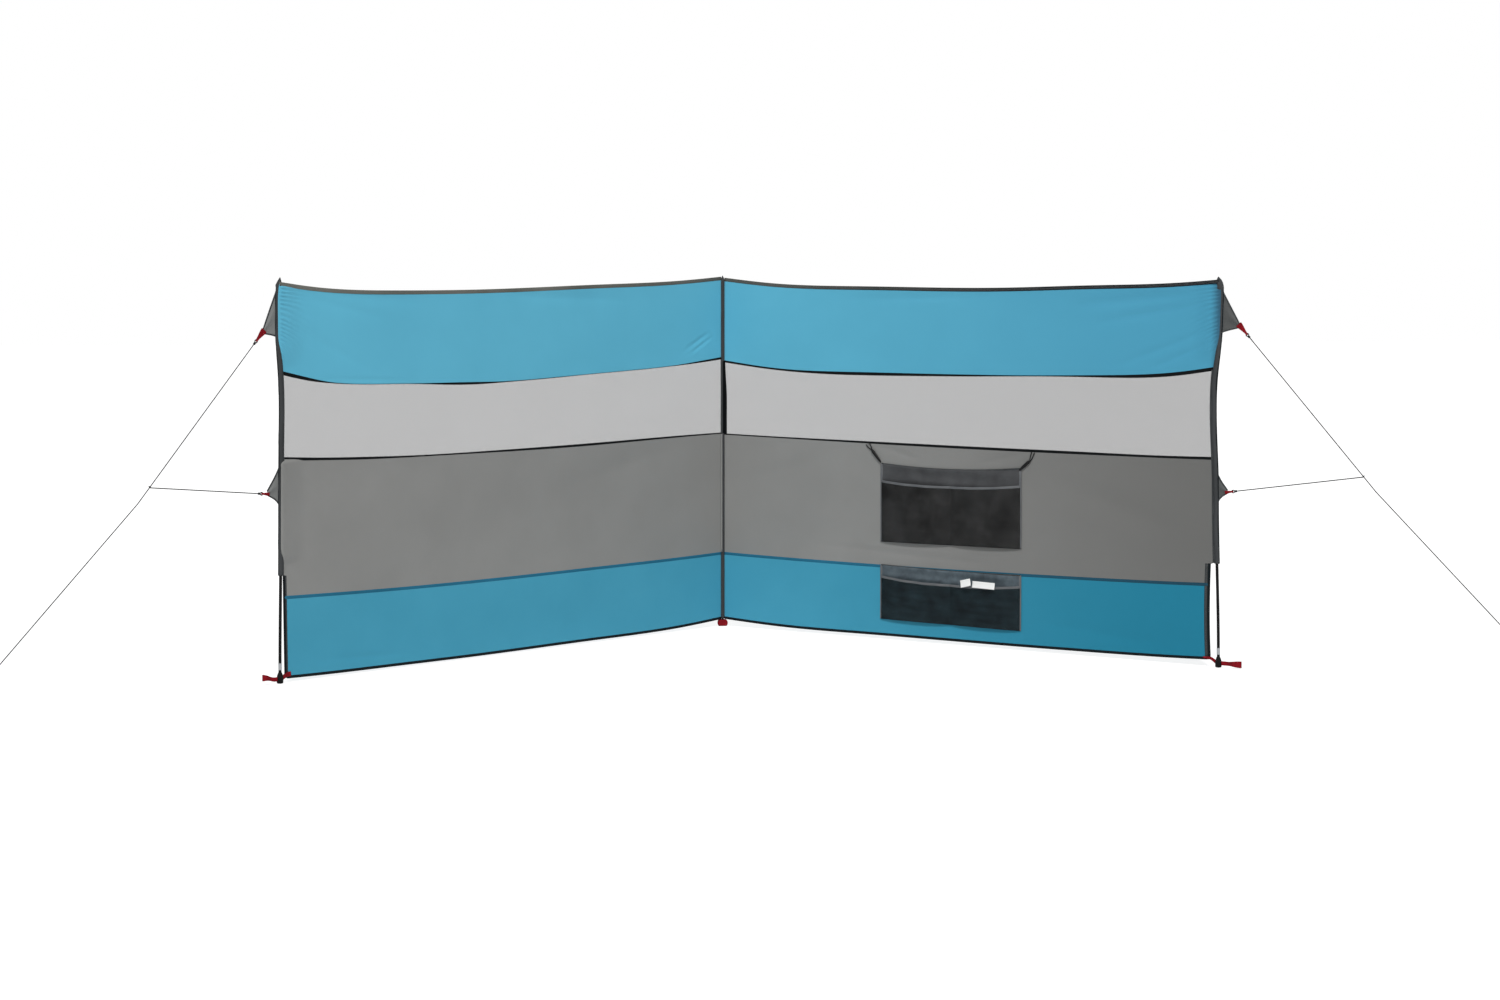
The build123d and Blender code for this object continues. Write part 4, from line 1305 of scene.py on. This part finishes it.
@dataclass(frozen=True)
class GuyLines:
    """A wing's braided guy lines: one from the upper flap to the peg, and a branch from the lower flap."""

    wing: Wing
    upper: GuyFlap
    lower: GuyFlap
    peg_reach: float = 1.300
    peg_eye_height: float = 15.0 * MM
    peg_lean: float = math.radians(15.0)
    peg_radius: float = 3.0 * MM
    junction_height: float = 0.700
    bend: float = 0.150
    radius: float = 1.8 * MM
    eye: float = 5.5 * MM
    knot_radius: float = 3.3 * MM
    knot_length: float = 9.0 * MM
    plait: float = 7.0 * MM
    clearance: float = 0.3 * MM
    step: float = 1.6 * MM

    def braid(self, path: np.ndarray) -> Patch:
        """A braided cord along a path in the wing's plane.

        Its radius swells by the product of two cosines, of the turn plus and less the distance
        along, which gives the crossing strands of an eight-strand plait.
        """
        sides = 12
        turn = np.linspace(0.0, 2.0 * np.pi, sides, endpoint=False)[None, :]
        wave = 2.0 * np.pi * travelled(path)[:, None] / self.plait
        swell = self.radius * (1.0 + 0.10 * np.cos(4.0 * turn + wave) * np.cos(4.0 * turn - wave))
        profile = np.stack([swell * np.cos(turn), swell * np.sin(turn)], axis=-1)
        return carried(path, self.wing.place(0.0, 1.0, 0.0), profile)

    def ring(self, middle: np.ndarray, first: np.ndarray, second: np.ndarray, radius: float) -> Patch:
        """A closed eye of cord round a middle, in the plane of two directions."""
        turn = np.linspace(0.0, 2.0 * np.pi, 40, endpoint=False)[:, None]
        outward = np.cos(turn) * first + np.sin(turn) * second
        axis = np.broadcast_to(np.cross(first, second), outward.shape)
        return swept(middle + radius * outward, axis, outward, round_profile(self.radius), closed=True)

    def knot(self, start: np.ndarray, out: np.ndarray) -> Patch:
        """Three and a half turns of cord wound round the line behind its eye, as a helix."""
        through = self.wing.place(0.0, 1.0, 0.0)
        square = np.cross(out, through)
        share = np.linspace(0.0, 1.0, 90)[:, None]
        turn = share * 7.0 * np.pi
        outward = np.cos(turn) * through + np.sin(turn) * square
        path = start + share * self.knot_length * out + self.knot_radius * outward
        return swept(path, np.broadcast_to(out, path.shape), outward, round_profile(1.3 * MM, 8))

    def fastened(self, flap: GuyFlap) -> tuple[np.ndarray, list[Patch]]:
        """Where a line leaves its knot at a flap, and the eye and the knot."""
        _, out, square = flap.pull()
        middle = flap.eye_place()
        start = middle + self.eye * out
        return start, [self.ring(middle, out, square, self.eye), self.knot(start, out)]

    def build(self) -> None:
        """Makes both lines and their eyes as one piece."""
        wing = self.wing
        start, patches = self.fastened(self.upper)
        _, out, square = self.upper.pull()
        drop = start[2] - self.junction_height
        bend_point = start + out * drop / -out[2]
        shank_s = wing.length + self.peg_reach + self.peg_eye_height * math.tan(self.peg_lean)
        shank = wing.place(shank_s, 0.0, self.peg_eye_height)
        away = unit(shank - bend_point)
        grip = self.peg_radius + self.clearance + self.radius
        end = shank - grip * away
        half_turn = math.acos(float(np.clip(np.dot(out, away), -1.0, 1.0))) / 2
        cut = self.bend * math.tan(half_turn)
        share = np.linspace(0.0, 1.0, 24)[:, None]
        leave = bend_point - cut * out
        meet = bend_point + cut * away
        curve = (1 - share) ** 2 * leave + 2 * share * (1 - share) * bend_point + share**2 * meet
        route = np.concatenate([start[None], curve, end[None]])
        patches.append(self.braid(resampled(route, self.step)))
        lean = wing.place(math.sin(self.peg_lean), 0.0, math.cos(self.peg_lean))
        through = wing.place(0.0, 1.0, 0.0)
        patches.append(self.ring(shank, through, unit(np.cross(lean, through)), grip))
        patches.append(self.knot(end - self.knot_length * away, away))
        branch_start, fastening = self.fastened(self.lower)
        patches.extend(fastening)
        meeting = bend_point - self.bend / 2 * out
        hold = 2 * self.radius + self.clearance
        patches.append(self.ring(meeting, through, square, hold))
        branch = np.stack([branch_start, meeting - hold * square])
        patches.append(self.braid(resampled(branch, self.step)))
        made = piece(f"guy_cord_{wing.side.value}", joined(patches), CORD.material())
        declare(made, wing.side.body, f"guy_line_{wing.side.value}")


@dataclass(frozen=True)
class EndRigging:
    """What hangs on a wing's outer end: two guy flaps, their webbing and hems, and the guy lines."""

    wing: Wing
    upper_shape: tuple[float, float, float, float]
    lower_shape: tuple[float, float, float, float]
    guy_slope: float = 49.0

    def branch_slope(self, lower_tip: tuple[float, float], meeting: tuple[float, float]) -> float:
        """How steeply the branch falls from the lower flap, in degrees."""
        return -math.degrees(math.atan2(meeting[1] - lower_tip[1], meeting[0] - lower_tip[0]))

    def build(self) -> None:
        """Makes the flaps, then what joins them to the guy lines."""
        wing = self.wing
        upper = GuyFlap(wing, "upper", *self.upper_shape, self.guy_slope, hollow=2 * MM)
        start, _ = GuyLines(wing, upper, upper).fastened(upper)
        angle = math.radians(self.guy_slope)
        tip = upper.pull()[0]
        run = (start[2] - GuyLines.junction_height) / math.tan(angle)
        meeting_s = wing.length + upper.reach + (tip[2] - start[2]) / math.tan(angle) + run
        before = GuyLines.bend / 2
        meeting = (meeting_s - before * math.cos(angle), GuyLines.junction_height + before * math.sin(angle))
        slope = self.branch_slope((wing.length + self.lower_shape[3], self.lower_shape[2]), meeting)
        lower = GuyFlap(
            wing, "lower", *self.lower_shape, slope, hollow=9 * MM, nose=16 * MM, web_width=13 * MM
        )
        upper.cloth()
        lower.cloth()
        side = wing.side
        hems = joined(upper.hems() + lower.hems())
        declare(piece(f"flap_hems_{side.value}", hems, HEM_TAPE.material()), side.body)
        loops = joined([upper.loop(), lower.loop()])
        made = piece(f"webbing_loops_{side.value}", loops, RED_WEBBING.material())
        declare(made, side.body, f"flap_loops_{side.value}")
        GuyLines(wing, upper, lower).build()


@dataclass(frozen=True)
class FootWebbing:
    """Webbing at an end pole's foot: over the panel's corner, round the cap and out to a peg loop."""

    wing: Wing
    tail_width: float = 18.0 * MM
    foot_width: float = 16.0 * MM
    thickness: float = 1.6 * MM
    cap_radius: float = 7.3 * MM
    tail: float = 77.0 * MM
    corner: float = 36.0 * MM
    corner_height: float = 36.0 * MM
    foot_height: float = 17.0 * MM
    loop_reach: float = 93.0 * MM
    loop_height: float = 20.0 * MM
    loop_width: float = 26.0 * MM
    loop_gap: float = 6.0 * MM
    loop_start: float = 45.0 * MM
    panel_half: float = 1.6 * MM
    rise: float = 0.06

    def half(self, sign: float) -> Patch:
        """The webbing on one face of the panel, from its tail to the end of the loop.

        Its height falls to the foot and rises again to the loop by smooth steps. It stands off the
        middle plane by the panel, bows round the cap as a circle does, closes behind it and opens
        again into the loop as half a sine.
        """
        wing = self.wing
        runs = ((-self.tail, -0.012, 20), (-0.010, 0.010, 13), (0.012, self.loop_reach, 30))
        s = np.concatenate([np.linspace(*run) for run in runs])
        inward = smooth(-s / self.corner)
        outward = smooth((s - 0.02) / 0.05)
        z = self.foot_height + (self.corner_height - self.foot_height) * inward
        z = z + (self.loop_height - self.foot_height) * outward + self.rise * np.clip(-s, 0.0, None)
        ring = np.sqrt(np.clip((self.cap_radius + self.thickness / 2) ** 2 - s**2, 0.0, None))
        panel = (self.panel_half + self.thickness / 2) * smooth((-s - 0.004) / 0.01)
        neck = self.thickness / 2 * smooth((s - 0.004) / 0.01)
        loop_share = np.clip((s - self.loop_start) / (self.loop_reach - self.loop_start), 0.0, 1.0)
        loop = self.loop_gap * np.sin(np.pi * loop_share**1.3) ** 0.7
        off = np.maximum(ring, panel + neck) + loop
        path = wing.place(wing.length + s, sign * off, z)
        width = self.foot_width + (self.tail_width - self.foot_width) * np.clip(-s / self.tail, 0.0, 1.0)
        width = width + (self.loop_width - self.foot_width) * loop_share
        return carried(path, wing.place(0.0, 0.0, 1.0), tape_profiles(width, self.thickness))

    def build(self) -> None:
        """Makes both halves as one piece."""
        side = self.wing.side
        halves = joined([self.half(-1.0), self.half(1.0)])
        made = piece(f"foot_webbing_{side.value}", halves, RED_WEBBING.material())
        declare(made, side.body, f"foot_strap_{side.value}")


@dataclass(frozen=True)
class FootBoot:
    """The moulded cap on an end pole's foot, over the webbing that passes round the pole."""

    wing: Wing
    outline: tuple[tuple[float, float], ...] = (
        (0.5, 8.0), (1.5, 10.6), (4.0, 12.2), (20.0, 12.4),
        (28.0, 11.2), (36.0, 8.6), (40.0, 7.2), (40.5, 6.0),
    )
    sides: int = 32

    def build(self) -> None:
        """The outline, in mm of height and radius, turned about the pole and closed at both ends."""
        z, radius = np.array(self.outline).T * MM
        turn = np.linspace(0.0, 2.0 * np.pi, self.sides, endpoint=False)
        foot = self.wing.place(self.wing.length, 0.0, 0.0)
        path = foot + np.stack([np.zeros_like(z), np.zeros_like(z), z], axis=1)
        circle = np.stack([np.cos(turn), np.sin(turn)], axis=1)
        profile = radius[:, None, None] * circle
        across = np.broadcast_to(np.array([1.0, 0.0, 0.0]), path.shape)
        away = np.broadcast_to(np.array([0.0, 1.0, 0.0]), path.shape)
        side = self.wing.side
        made = piece(f"foot_boot_{side.value}", swept(path, across, away, profile), CAP.material())
        declare(made, side.body, f"foot_cap_{side.value}")


@dataclass(frozen=True)
class FootSling:
    """Wide webbing folded under the middle pole's foot and sewn to the end of its sleeve."""

    width: float = 43.0 * MM
    height: float = 28.0 * MM
    half_gap: float = 7.3 * MM
    belly: float = 5.0 * MM
    thickness: float = 1.6 * MM

    def build(self) -> None:
        """A flat web along a U: two upright runs with a slight belly and half an oval under the foot."""
        turn = np.linspace(np.pi, 2.0 * np.pi, 17)
        lie = self.half_gap + self.thickness / 2
        curve = self.thickness / 2 + self.belly
        rise = np.linspace(self.height, curve, 9)[:-1]
        aside = np.concatenate([np.full(8, -lie), lie * np.cos(turn), np.full(8, lie)])
        up = np.concatenate([rise, curve + self.belly * np.sin(turn), rise[::-1]])
        path = np.stack([np.zeros_like(aside), aside, up], axis=1)
        share = np.clip(up / self.height, 0.0, 1.0)
        width = self.width * (0.62 + 0.38 * np.sqrt(np.clip(4.0 * share * (1.0 - share), 0.0, 1.0)))
        patch = carried(path, np.array([1.0, 0.0, 0.0]), tape_profiles(width, self.thickness, 18))
        made = piece("sling_webbing", patch, RED_WEBBING.material())
        declare(made, Side.LEFT.body, "foot_sling")


@dataclass(frozen=True)
class MeshPocket:
    """A two-part net pocket on the right wing: a cloth back, bellied net fronts and bound edges."""

    name: str
    top: float
    mouth: float
    bottom: float
    top_sag: float
    net: Finish
    strip: Finish
    slant: float
    wing: Wing = RIGHT_WING
    start: float = 0.770
    end: float = 1.400
    divider: float = 1.088
    sag: float = 15.0 * MM
    depth: float = 24.0 * MM
    toe: float = 8.0 * MM
    stand: float = 2.6 * MM
    net_lift: float = 1.6 * MM
    edge: float = 11.0 * MM
    ripple: float = 1.0 * MM

    def middle_share(self, s: np.ndarray) -> np.ndarray:
        """From 0 at a pocket's sides to 1 half way across it, as a parabola."""
        across = (s - self.start) / (self.end - self.start)
        return 4.0 * across * (1.0 - across)

    def level(self, s: np.ndarray, height: float, sag: float) -> np.ndarray:
        """A line across the pocket that sags between its sides and slants from start to end."""
        across = (s - self.start) / (self.end - self.start)
        return height - sag * self.middle_share(s) + self.slant * (across - 0.5)

    def belly(self, s: np.ndarray, up: np.ndarray) -> np.ndarray:
        """How far the net stands off the back: a parabola over each half, deeper towards the mouth."""
        left = s < self.divider
        low = np.where(left, self.start, self.divider)
        high = np.where(left, self.divider, self.end)
        across = (s - low) / (high - low)
        depth = self.toe + (self.depth - self.toe) * up
        drawn = 1.0 + 0.12 * np.sin(2.0 * np.pi * 3.0 * across + 1.3 * up) * up
        ripples = self.ripple * np.sin(2.0 * np.pi * 5.0 * up + 3.0 * across) * np.sin(np.pi * up)
        share = (4.0 * across * (1.0 - across)) ** 0.7
        return (depth * drawn + ripples) * share

    def back(self) -> bpy.types.Object:
        """The cloth behind the net, whose bare top strip hangs in soft level folds."""
        across, up = np.meshgrid(np.linspace(self.start, self.end, 91), np.linspace(0.0, 1.0, 61))
        low = self.level(across, self.bottom, 0.0)
        high = self.level(across, self.top, self.top_sag)
        z = low + (high - low) * up
        strip = smooth((z - self.mouth + 0.02) / 0.03)
        share = (z - self.mouth) / (self.top - self.mouth)
        folds = 2.4 * MM * np.sin(7.0 * share + 5.0 * across) * self.middle_share(across) ** 0.5 * strip
        points = self.wing.on_cloth(across, z, self.stand) + self.wing.place(0.0, folds - 1.2 * MM, 0.0)
        patch = sheet_patch(points, np.stack([across, z], axis=-1))
        made = piece(f"{self.name}_back", patch, self.strip.material(), 0.8 * MM)
        return made

    def front(self) -> bpy.types.Object:
        """The net, from the pocket's foot to its mouth."""
        across, up = np.meshgrid(np.linspace(self.start, self.end, 127), np.linspace(0.0, 1.0, 34))
        low = self.level(across, self.bottom, 0.0)
        high = self.level(across, self.mouth, self.sag)
        z = low + (high - low) * up
        points = self.wing.on_cloth(across, z, self.stand + self.net_lift)
        points = points - self.wing.place(0.0, self.belly(across, up), 0.0)
        patch = sheet_patch(points, np.stack([across, z], axis=-1))
        made = piece(f"{self.name}_net", patch, self.net.material(), 0.8 * MM)
        return made

    def side_path(self, s: float) -> np.ndarray:
        """The line up one side of the pocket, from its foot to its head."""
        low = self.level(np.array(s), self.bottom, 0.0)
        high = self.level(np.array(s), self.top, 0.0)
        rise = np.linspace(0.0, 1.0, 40)
        return self.wing.on_cloth(s, low + (high - low) * rise, self.stand + 1 * MM)

    def bindings(self) -> bpy.types.Object:
        """Tapes down the pocket's sides, and the hem along its mouth."""
        wing = self.wing
        s = np.linspace(self.start, self.end, 91)
        mouth = wing.on_cloth(s, self.level(s, self.mouth, self.sag), self.stand + self.net_lift)
        mouth = mouth - wing.place(0.0, self.belly(s, np.array(1.0)), 0.0)
        tapes = [wing.flat_tape(mouth, slab_profile(10 * MM, 1.8 * MM))]
        for end in (self.start, self.end):
            tapes.append(wing.flat_tape(self.side_path(end), slab_profile(self.edge, 1.8 * MM)))
        return piece(f"{self.name}_binding", joined(tapes), POCKET_EDGE.material())

    def head(self) -> bpy.types.Object:
        """A dark tape along the pocket's upper edge."""
        s = np.linspace(self.start, self.end, 91)
        path = self.wing.on_cloth(s, self.level(s, self.top, self.top_sag), self.stand + 1 * MM)
        tape = self.wing.flat_tape(path, slab_profile(6 * MM, 2.4 * MM))
        return piece(f"{self.name}_head", tape, HEM_TAPE.material())

    def build(self, node: str) -> None:
        """Makes the back, the net and the tapes."""
        made = (self.front(), self.back(), self.bindings(), self.head())
        for part in made:
            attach(part, Side.RIGHT.body)
        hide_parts(node)


@dataclass(frozen=True)
class PocketHooks:
    """Cord loops from the seam above, each with a moulded clip that holds a corner of the upper pocket."""

    wing: Wing = RIGHT_WING
    stand: float = 4.0 * MM
    cord: float = 2.0 * MM
    clip: float = 6.2 * MM

    def loop(self, high: tuple[float, float], low: tuple[float, float], spread: float) -> Patch:
        """A cord loop: two strands that part by spread at the seam and meet in a bend at the clip.

        The strands follow half an ellipse as long as the loop.
        """
        turn = np.linspace(0.0, np.pi, 40)
        axis = np.subtract(low, high)
        length = math.hypot(*axis)
        along = axis / length
        side = np.array([along[1], -along[0]])
        reach = length * np.sin(turn)
        part = spread / 2 * np.cos(turn)
        s = high[0] + reach * along[0] + part * side[0]
        z = high[1] + reach * along[1] + part * side[1]
        path = self.wing.on_cloth(s, z, self.stand)
        return carried(path, self.wing.place(0.0, 1.0, 0.0), round_profile(self.cord, 8))

    def clip_body(self, high: tuple[float, float], low: tuple[float, float]) -> Patch:
        """A moulded clip: a rod whose radius swells at its shoulder and narrows to its toe."""
        share = np.linspace(0.0, 1.0, 28)
        s = high[0] + (low[0] - high[0]) * share
        z = high[1] + (low[1] - high[1]) * share
        path = self.wing.on_cloth(s, z, self.stand + 2.0 * MM)
        swell = 0.35 + 0.65 * np.sin(np.pi * share**0.8) ** 0.6
        swell = swell + 0.25 * np.exp(-(((share - 0.22) / 0.05) ** 2))
        profile = round_profile(1.0, 12)[None] * (self.clip * swell)[:, None, None]
        profile[..., 1] *= 0.8
        return self.wing.flat_tape(path, profile)

    def build(self) -> None:
        """Makes both hooks' loops as one piece and their clips as another."""
        loops = [
            self.loop((0.703, 0.806), (0.722, 0.782), 16 * MM),
            self.loop((1.457, 0.797), (1.444, 0.762), 12 * MM),
        ]
        clips = [
            self.clip_body((0.722, 0.784), (0.768, 0.729)),
            self.clip_body((1.446, 0.764), (1.396, 0.722)),
        ]
        for name, patches, finish in (("pocket_cords", loops, CORD), ("pocket_clips", clips, CLIP)):
            made = piece(name, joined(patches), finish.material())
            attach(made, Side.RIGHT.body)
        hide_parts("pocket_straps")


@dataclass(frozen=True)
class BlankTags:
    """Two small white labels sewn to the lower pocket's strip by their top edges, left blank."""

    wing: Wing = RIGHT_WING
    stand: float = 30.0 * MM

    def tag(self, middle: tuple[float, float], size: tuple[float, float], tilt: float, curl: float) -> Patch:
        """A label: a flat grid turned by tilt, whose foot curls off the pocket as a parabola."""
        across, up = np.meshgrid(np.linspace(-0.5, 0.5, 15), np.linspace(-0.5, 0.5, 9))
        turn = math.radians(tilt)
        a = across * size[0]
        b = up * size[1]
        s = middle[0] + a * math.cos(turn) - b * math.sin(turn)
        z = middle[1] + a * math.sin(turn) + b * math.cos(turn)
        lift = curl * (0.5 - up) ** 2 + 0.6 * MM * np.sin(5.0 * across)
        return sheet_patch(self.wing.place(s, -self.stand - lift, z), np.stack([a, b], axis=-1))

    def build(self) -> None:
        """Makes both labels as one piece."""
        tags = [
            self.tag((1.254, 0.256), (0.100, 0.026), -1.5, 5 * MM),
            self.tag((1.174, 0.260), (0.046, 0.029), 14.0, 7 * MM),
        ]
        made = piece("blank_tags", joined(tags), TAG_CLOTH.material(), 0.5 * MM)
        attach(made, Side.RIGHT.body)
        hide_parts("pocket_tags")


@dataclass(frozen=True)
class Hardware:
    """The rigid pieces whose modelled shape is kept: the middle rod and cap, the ferrules and the pegs."""

    finishes: dict[str, Finish] = field(
        default_factory=lambda: {"pole_": ROD, "foot_cap_": CAP, "ferrule_": FERRULE, "peg_": PEG}
    )

    def build(self) -> None:
        """Gives each of them its finish."""
        for start, finish in self.finishes.items():
            material = finish.material()
            for name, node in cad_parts.items():
                if name.startswith(start):
                    for slot in node.material_slots:
                        slot.material = material
                    LOG.info("%s: %s", name, finish.name)


@dataclass(frozen=True)
class SoftLamp:
    """A square lamp that lights what it aims at by a share of white, whatever its distance."""

    name: str
    place: tuple[float, float, float]
    size: float
    share: float
    aim: tuple[float, float, float] = (0.0, -0.6, 0.8)

    def build(self) -> None:
        """A flat lamp's power for a share of white is the share times pi squared times distance squared."""
        lamp = bpy.data.lights.new(self.name, "AREA")
        lamp.shape = "SQUARE"
        lamp.size = self.size
        away = np.subtract(self.place, self.aim)
        lamp.energy = self.share * math.pi**2 * float(away @ away)
        made = bpy.data.objects.new(self.name, lamp)
        made.location = self.place
        level = math.hypot(away[0], away[1])
        made.rotation_euler = (math.atan2(level, away[2]), 0.0, math.atan2(away[0], -away[1]))
        bpy.context.scene.collection.objects.link(made)


@dataclass(frozen=True)
class SoftSun:
    """A wide sun, whose even light falls off nowhere, from a direction towards it."""

    towards: tuple[float, float, float] = (-0.10, -0.62, 0.78)
    strength: float = 2.3
    width: float = math.radians(11.0)

    def build(self) -> None:
        """Makes the sun, turned so that its light comes from that direction."""
        lamp = bpy.data.lights.new("soft sun", "SUN")
        lamp.energy = self.strength
        lamp.angle = self.width
        made = bpy.data.objects.new("soft sun", lamp)
        x, y, z = self.towards
        made.rotation_euler = (math.atan2(math.hypot(x, y), z), 0.0, math.atan2(x, -y))
        bpy.context.scene.collection.objects.link(made)


@dataclass(frozen=True)
class Studio:
    """A white floor and backdrop that keep the object's faint shadow, and soft lamps."""

    floor_size: float = 80.0
    sky: float = 0.42
    floor_share: float = 0.55
    floor_glow: float = 1.35
    lamps: tuple[SoftLamp | SoftSun, ...] = (
        SoftSun(),
        SoftLamp("back light", (0.5, 7.0, 5.0), 4.0, 0.20),
    )

    def seen(self, tree: bpy.types.NodeTree) -> bpy.types.NodeSocket:
        """1 for rays from the camera, off a gloss or through a film, and otherwise 0."""
        ray = add_node(tree, "ShaderNodeLightPath")
        gloss = add_node(
            tree,
            "ShaderNodeMath",
            {0: ray.outputs["Is Camera Ray"], 1: ray.outputs["Is Glossy Ray"]},
            operation="MAXIMUM",
        )
        through = add_node(
            tree,
            "ShaderNodeMath",
            {0: gloss.outputs[0], 1: ray.outputs["Is Transmission Ray"]},
            operation="MAXIMUM",
        )
        return through.outputs[0]

    def backdrop(self) -> None:
        """A world that is white where it is seen and lights the object at a plain level."""
        world = bpy.data.worlds.new("white backdrop")
        bpy.context.scene.world = world
        world.use_nodes = True
        tree = world.node_tree
        tree.nodes.clear()
        light, white = (
            add_node(tree, "ShaderNodeBackground", {"Color": (1.0, 1.0, 1.0, 1.0), "Strength": strength})
            for strength in (self.sky, 1.0)
        )
        shown = add_node(
            tree, "ShaderNodeMixShader", {0: self.seen(tree), 1: light.outputs[0], 2: white.outputs[0]}
        )
        add_node(tree, "ShaderNodeOutputWorld", {"Surface": shown.outputs[0]})

    def floor(self) -> None:
        """A plain floor: pale paper, part of it glowing white where it is seen."""
        half = self.floor_size / 2
        below = -0.5 * MM
        corners = np.array(
            [(-half, -half, below), (half, -half, below), (half, half, below), (-half, half, below)]
        )
        made = bpy.data.materials.new("matt paper, white")
        made.use_nodes = True
        tree = made.node_tree
        tree.nodes.clear()
        paper = add_node(tree, "ShaderNodeBsdfDiffuse", {"Color": colour("#f4f4f4")})
        glow = add_node(tree, "ShaderNodeEmission", {"Strength": self.floor_glow})
        part = add_node(
            tree, "ShaderNodeMath", {0: self.seen(tree), 1: self.floor_share}, operation="MULTIPLY"
        )
        shown = add_node(
            tree, "ShaderNodeMixShader", {0: part.outputs[0], 1: paper.outputs[0], 2: glow.outputs[0]}
        )
        add_node(tree, "ShaderNodeOutputMaterial", {"Surface": shown.outputs[0]})
        piece("studio_floor", Patch(corners, [[0, 1, 2, 3]], corners[:, :2]), made)

    def build(self) -> None:
        """Sets the stage."""
        bpy.context.scene.view_settings.view_transform = "Standard"
        self.backdrop()
        self.floor()
        for lamp in self.lamps:
            lamp.build()


@dataclass(frozen=True)
class PhotoCamera:
    """A level camera at the photograph's place, its frame shifted down so that the horizon lies high."""

    place: tuple[float, float, float] = (-1.1136, -11.2094, 1.5453)
    yaw: float = -6.27
    focal_pixels: float = 2631.6
    horizon_row: float = 264.9
    image: tuple[int, int] = (1500, 1000)
    film: float = 36.0

    def build(self) -> None:
        """Makes the camera and gives it to the scene."""
        lens = bpy.data.cameras.new("photo camera")
        lens.sensor_width = self.film
        lens.lens = self.focal_pixels / self.image[0] * self.film
        lens.shift_y = -(self.image[1] / 2 - self.horizon_row) / self.image[0]
        made = bpy.data.objects.new("photo camera", lens)
        made.location = self.place
        made.rotation_euler = (math.radians(90.0), 0.0, math.radians(self.yaw))
        bpy.context.scene.collection.objects.link(made)
        bpy.context.scene.camera = made


def sleeves() -> list[PoleSleeve]:
    """The three pole sleeves: the middle one has no tail, as both wings turn about it."""
    middle = PoleSleeve(
        "sleeve_cloth_middle", "sleeve_middle", Side.LEFT.body, (0.0, 0.0), 0.0, 0.0333, 0.0,
        radius=8.6 * MM, wobble=0.3 * MM, cloth=MIDDLE_SLEEVE_CLOTH,
    )
    made = [middle]
    heads = ((2.5 * MM, 28 * MM, 1.25), (4.5 * MM, 40 * MM, 3.0))
    for wing, (crown, point, blunt) in zip((LEFT_WING, RIGHT_WING), heads):
        foot = wing.place(wing.length, 0.0, 0.0)
        inward = wing.place(-1.0, 0.0, 0.0)
        turn = math.atan2(inward[1], inward[0])
        side = wing.side.value
        made.append(
            PoleSleeve(
                f"sleeve_cloth_{side}", f"sleeve_{side}", wing.side.body, (foot[0], foot[1]), turn,
                wing.sleeve_bottom, 3 * MM, crown=crown, point=point, blunt=blunt, wing=wing,
            )
        )
    return made


def main() -> None:
    """Builds the windbreak's looks, piece by piece."""
    logging.basicConfig(level=logging.INFO, format="%(message)s")
    PhotoCamera().build()
    Studio().build()
    for wing, strip_width in ((LEFT_WING, 6 * MM), (RIGHT_WING, 13 * MM)):
        WingCloth(wing).build()
        WingTapes(wing, strip_width=strip_width).build()
        BowedRod(wing).build()
        FootBoot(wing).build()
    EndRigging(LEFT_WING, (1.453, 1.279, 1.295, 0.078), (0.799, 0.660, 0.703, 0.061)).build()
    EndRigging(RIGHT_WING, (1.445, 1.284, 1.308, 0.091), (0.743, 0.635, 0.675, 0.041)).build()
    SleeveTrim(LEFT_WING, 1.7 * MM, 5 * MM, 0.822).build()
    SleeveTrim(RIGHT_WING, 2.4 * MM, 8 * MM, 0.402).build()
    MiddleTrim("middle_sleeve_hem", SEAM_TAPE, "seam_tape", (-95.0, -20.0), (0.826, 1.134)).build()
    MiddleTrim("middle_sleeve_facing", GREY_CLOTH, "grey_cloth", (-150.0, -104.0), (0.318, 0.822)).build()
    FootWebbing(
        LEFT_WING, tail=46 * MM, corner_height=29 * MM, loop_reach=76 * MM, loop_height=28 * MM,
        loop_width=24 * MM,
    ).build()
    FootWebbing(
        RIGHT_WING, tail=62 * MM, tail_width=6 * MM, corner_height=32 * MM, loop_height=17 * MM
    ).build()
    for sleeve in sleeves():
        sleeve.build()
    FootSling().build()
    MeshPocket(
        "upper_net_pocket", top=0.727, mouth=0.655, bottom=0.405, top_sag=15 * MM,
        net=UPPER_NET, strip=POCKET_STRIP, slant=4 * MM,
    ).build("upper_pocket")
    MeshPocket(
        "lower_net_pocket", top=0.304, mouth=0.257, bottom=0.082, top_sag=4 * MM,
        net=LOWER_NET, strip=LOWER_STRIP, slant=-6 * MM, ripple=2.2 * MM,
    ).build("lower_pocket")
    PocketHooks().build()
    BlankTags().build()
    Hardware().build()


if __name__ == "__main__":
    main()
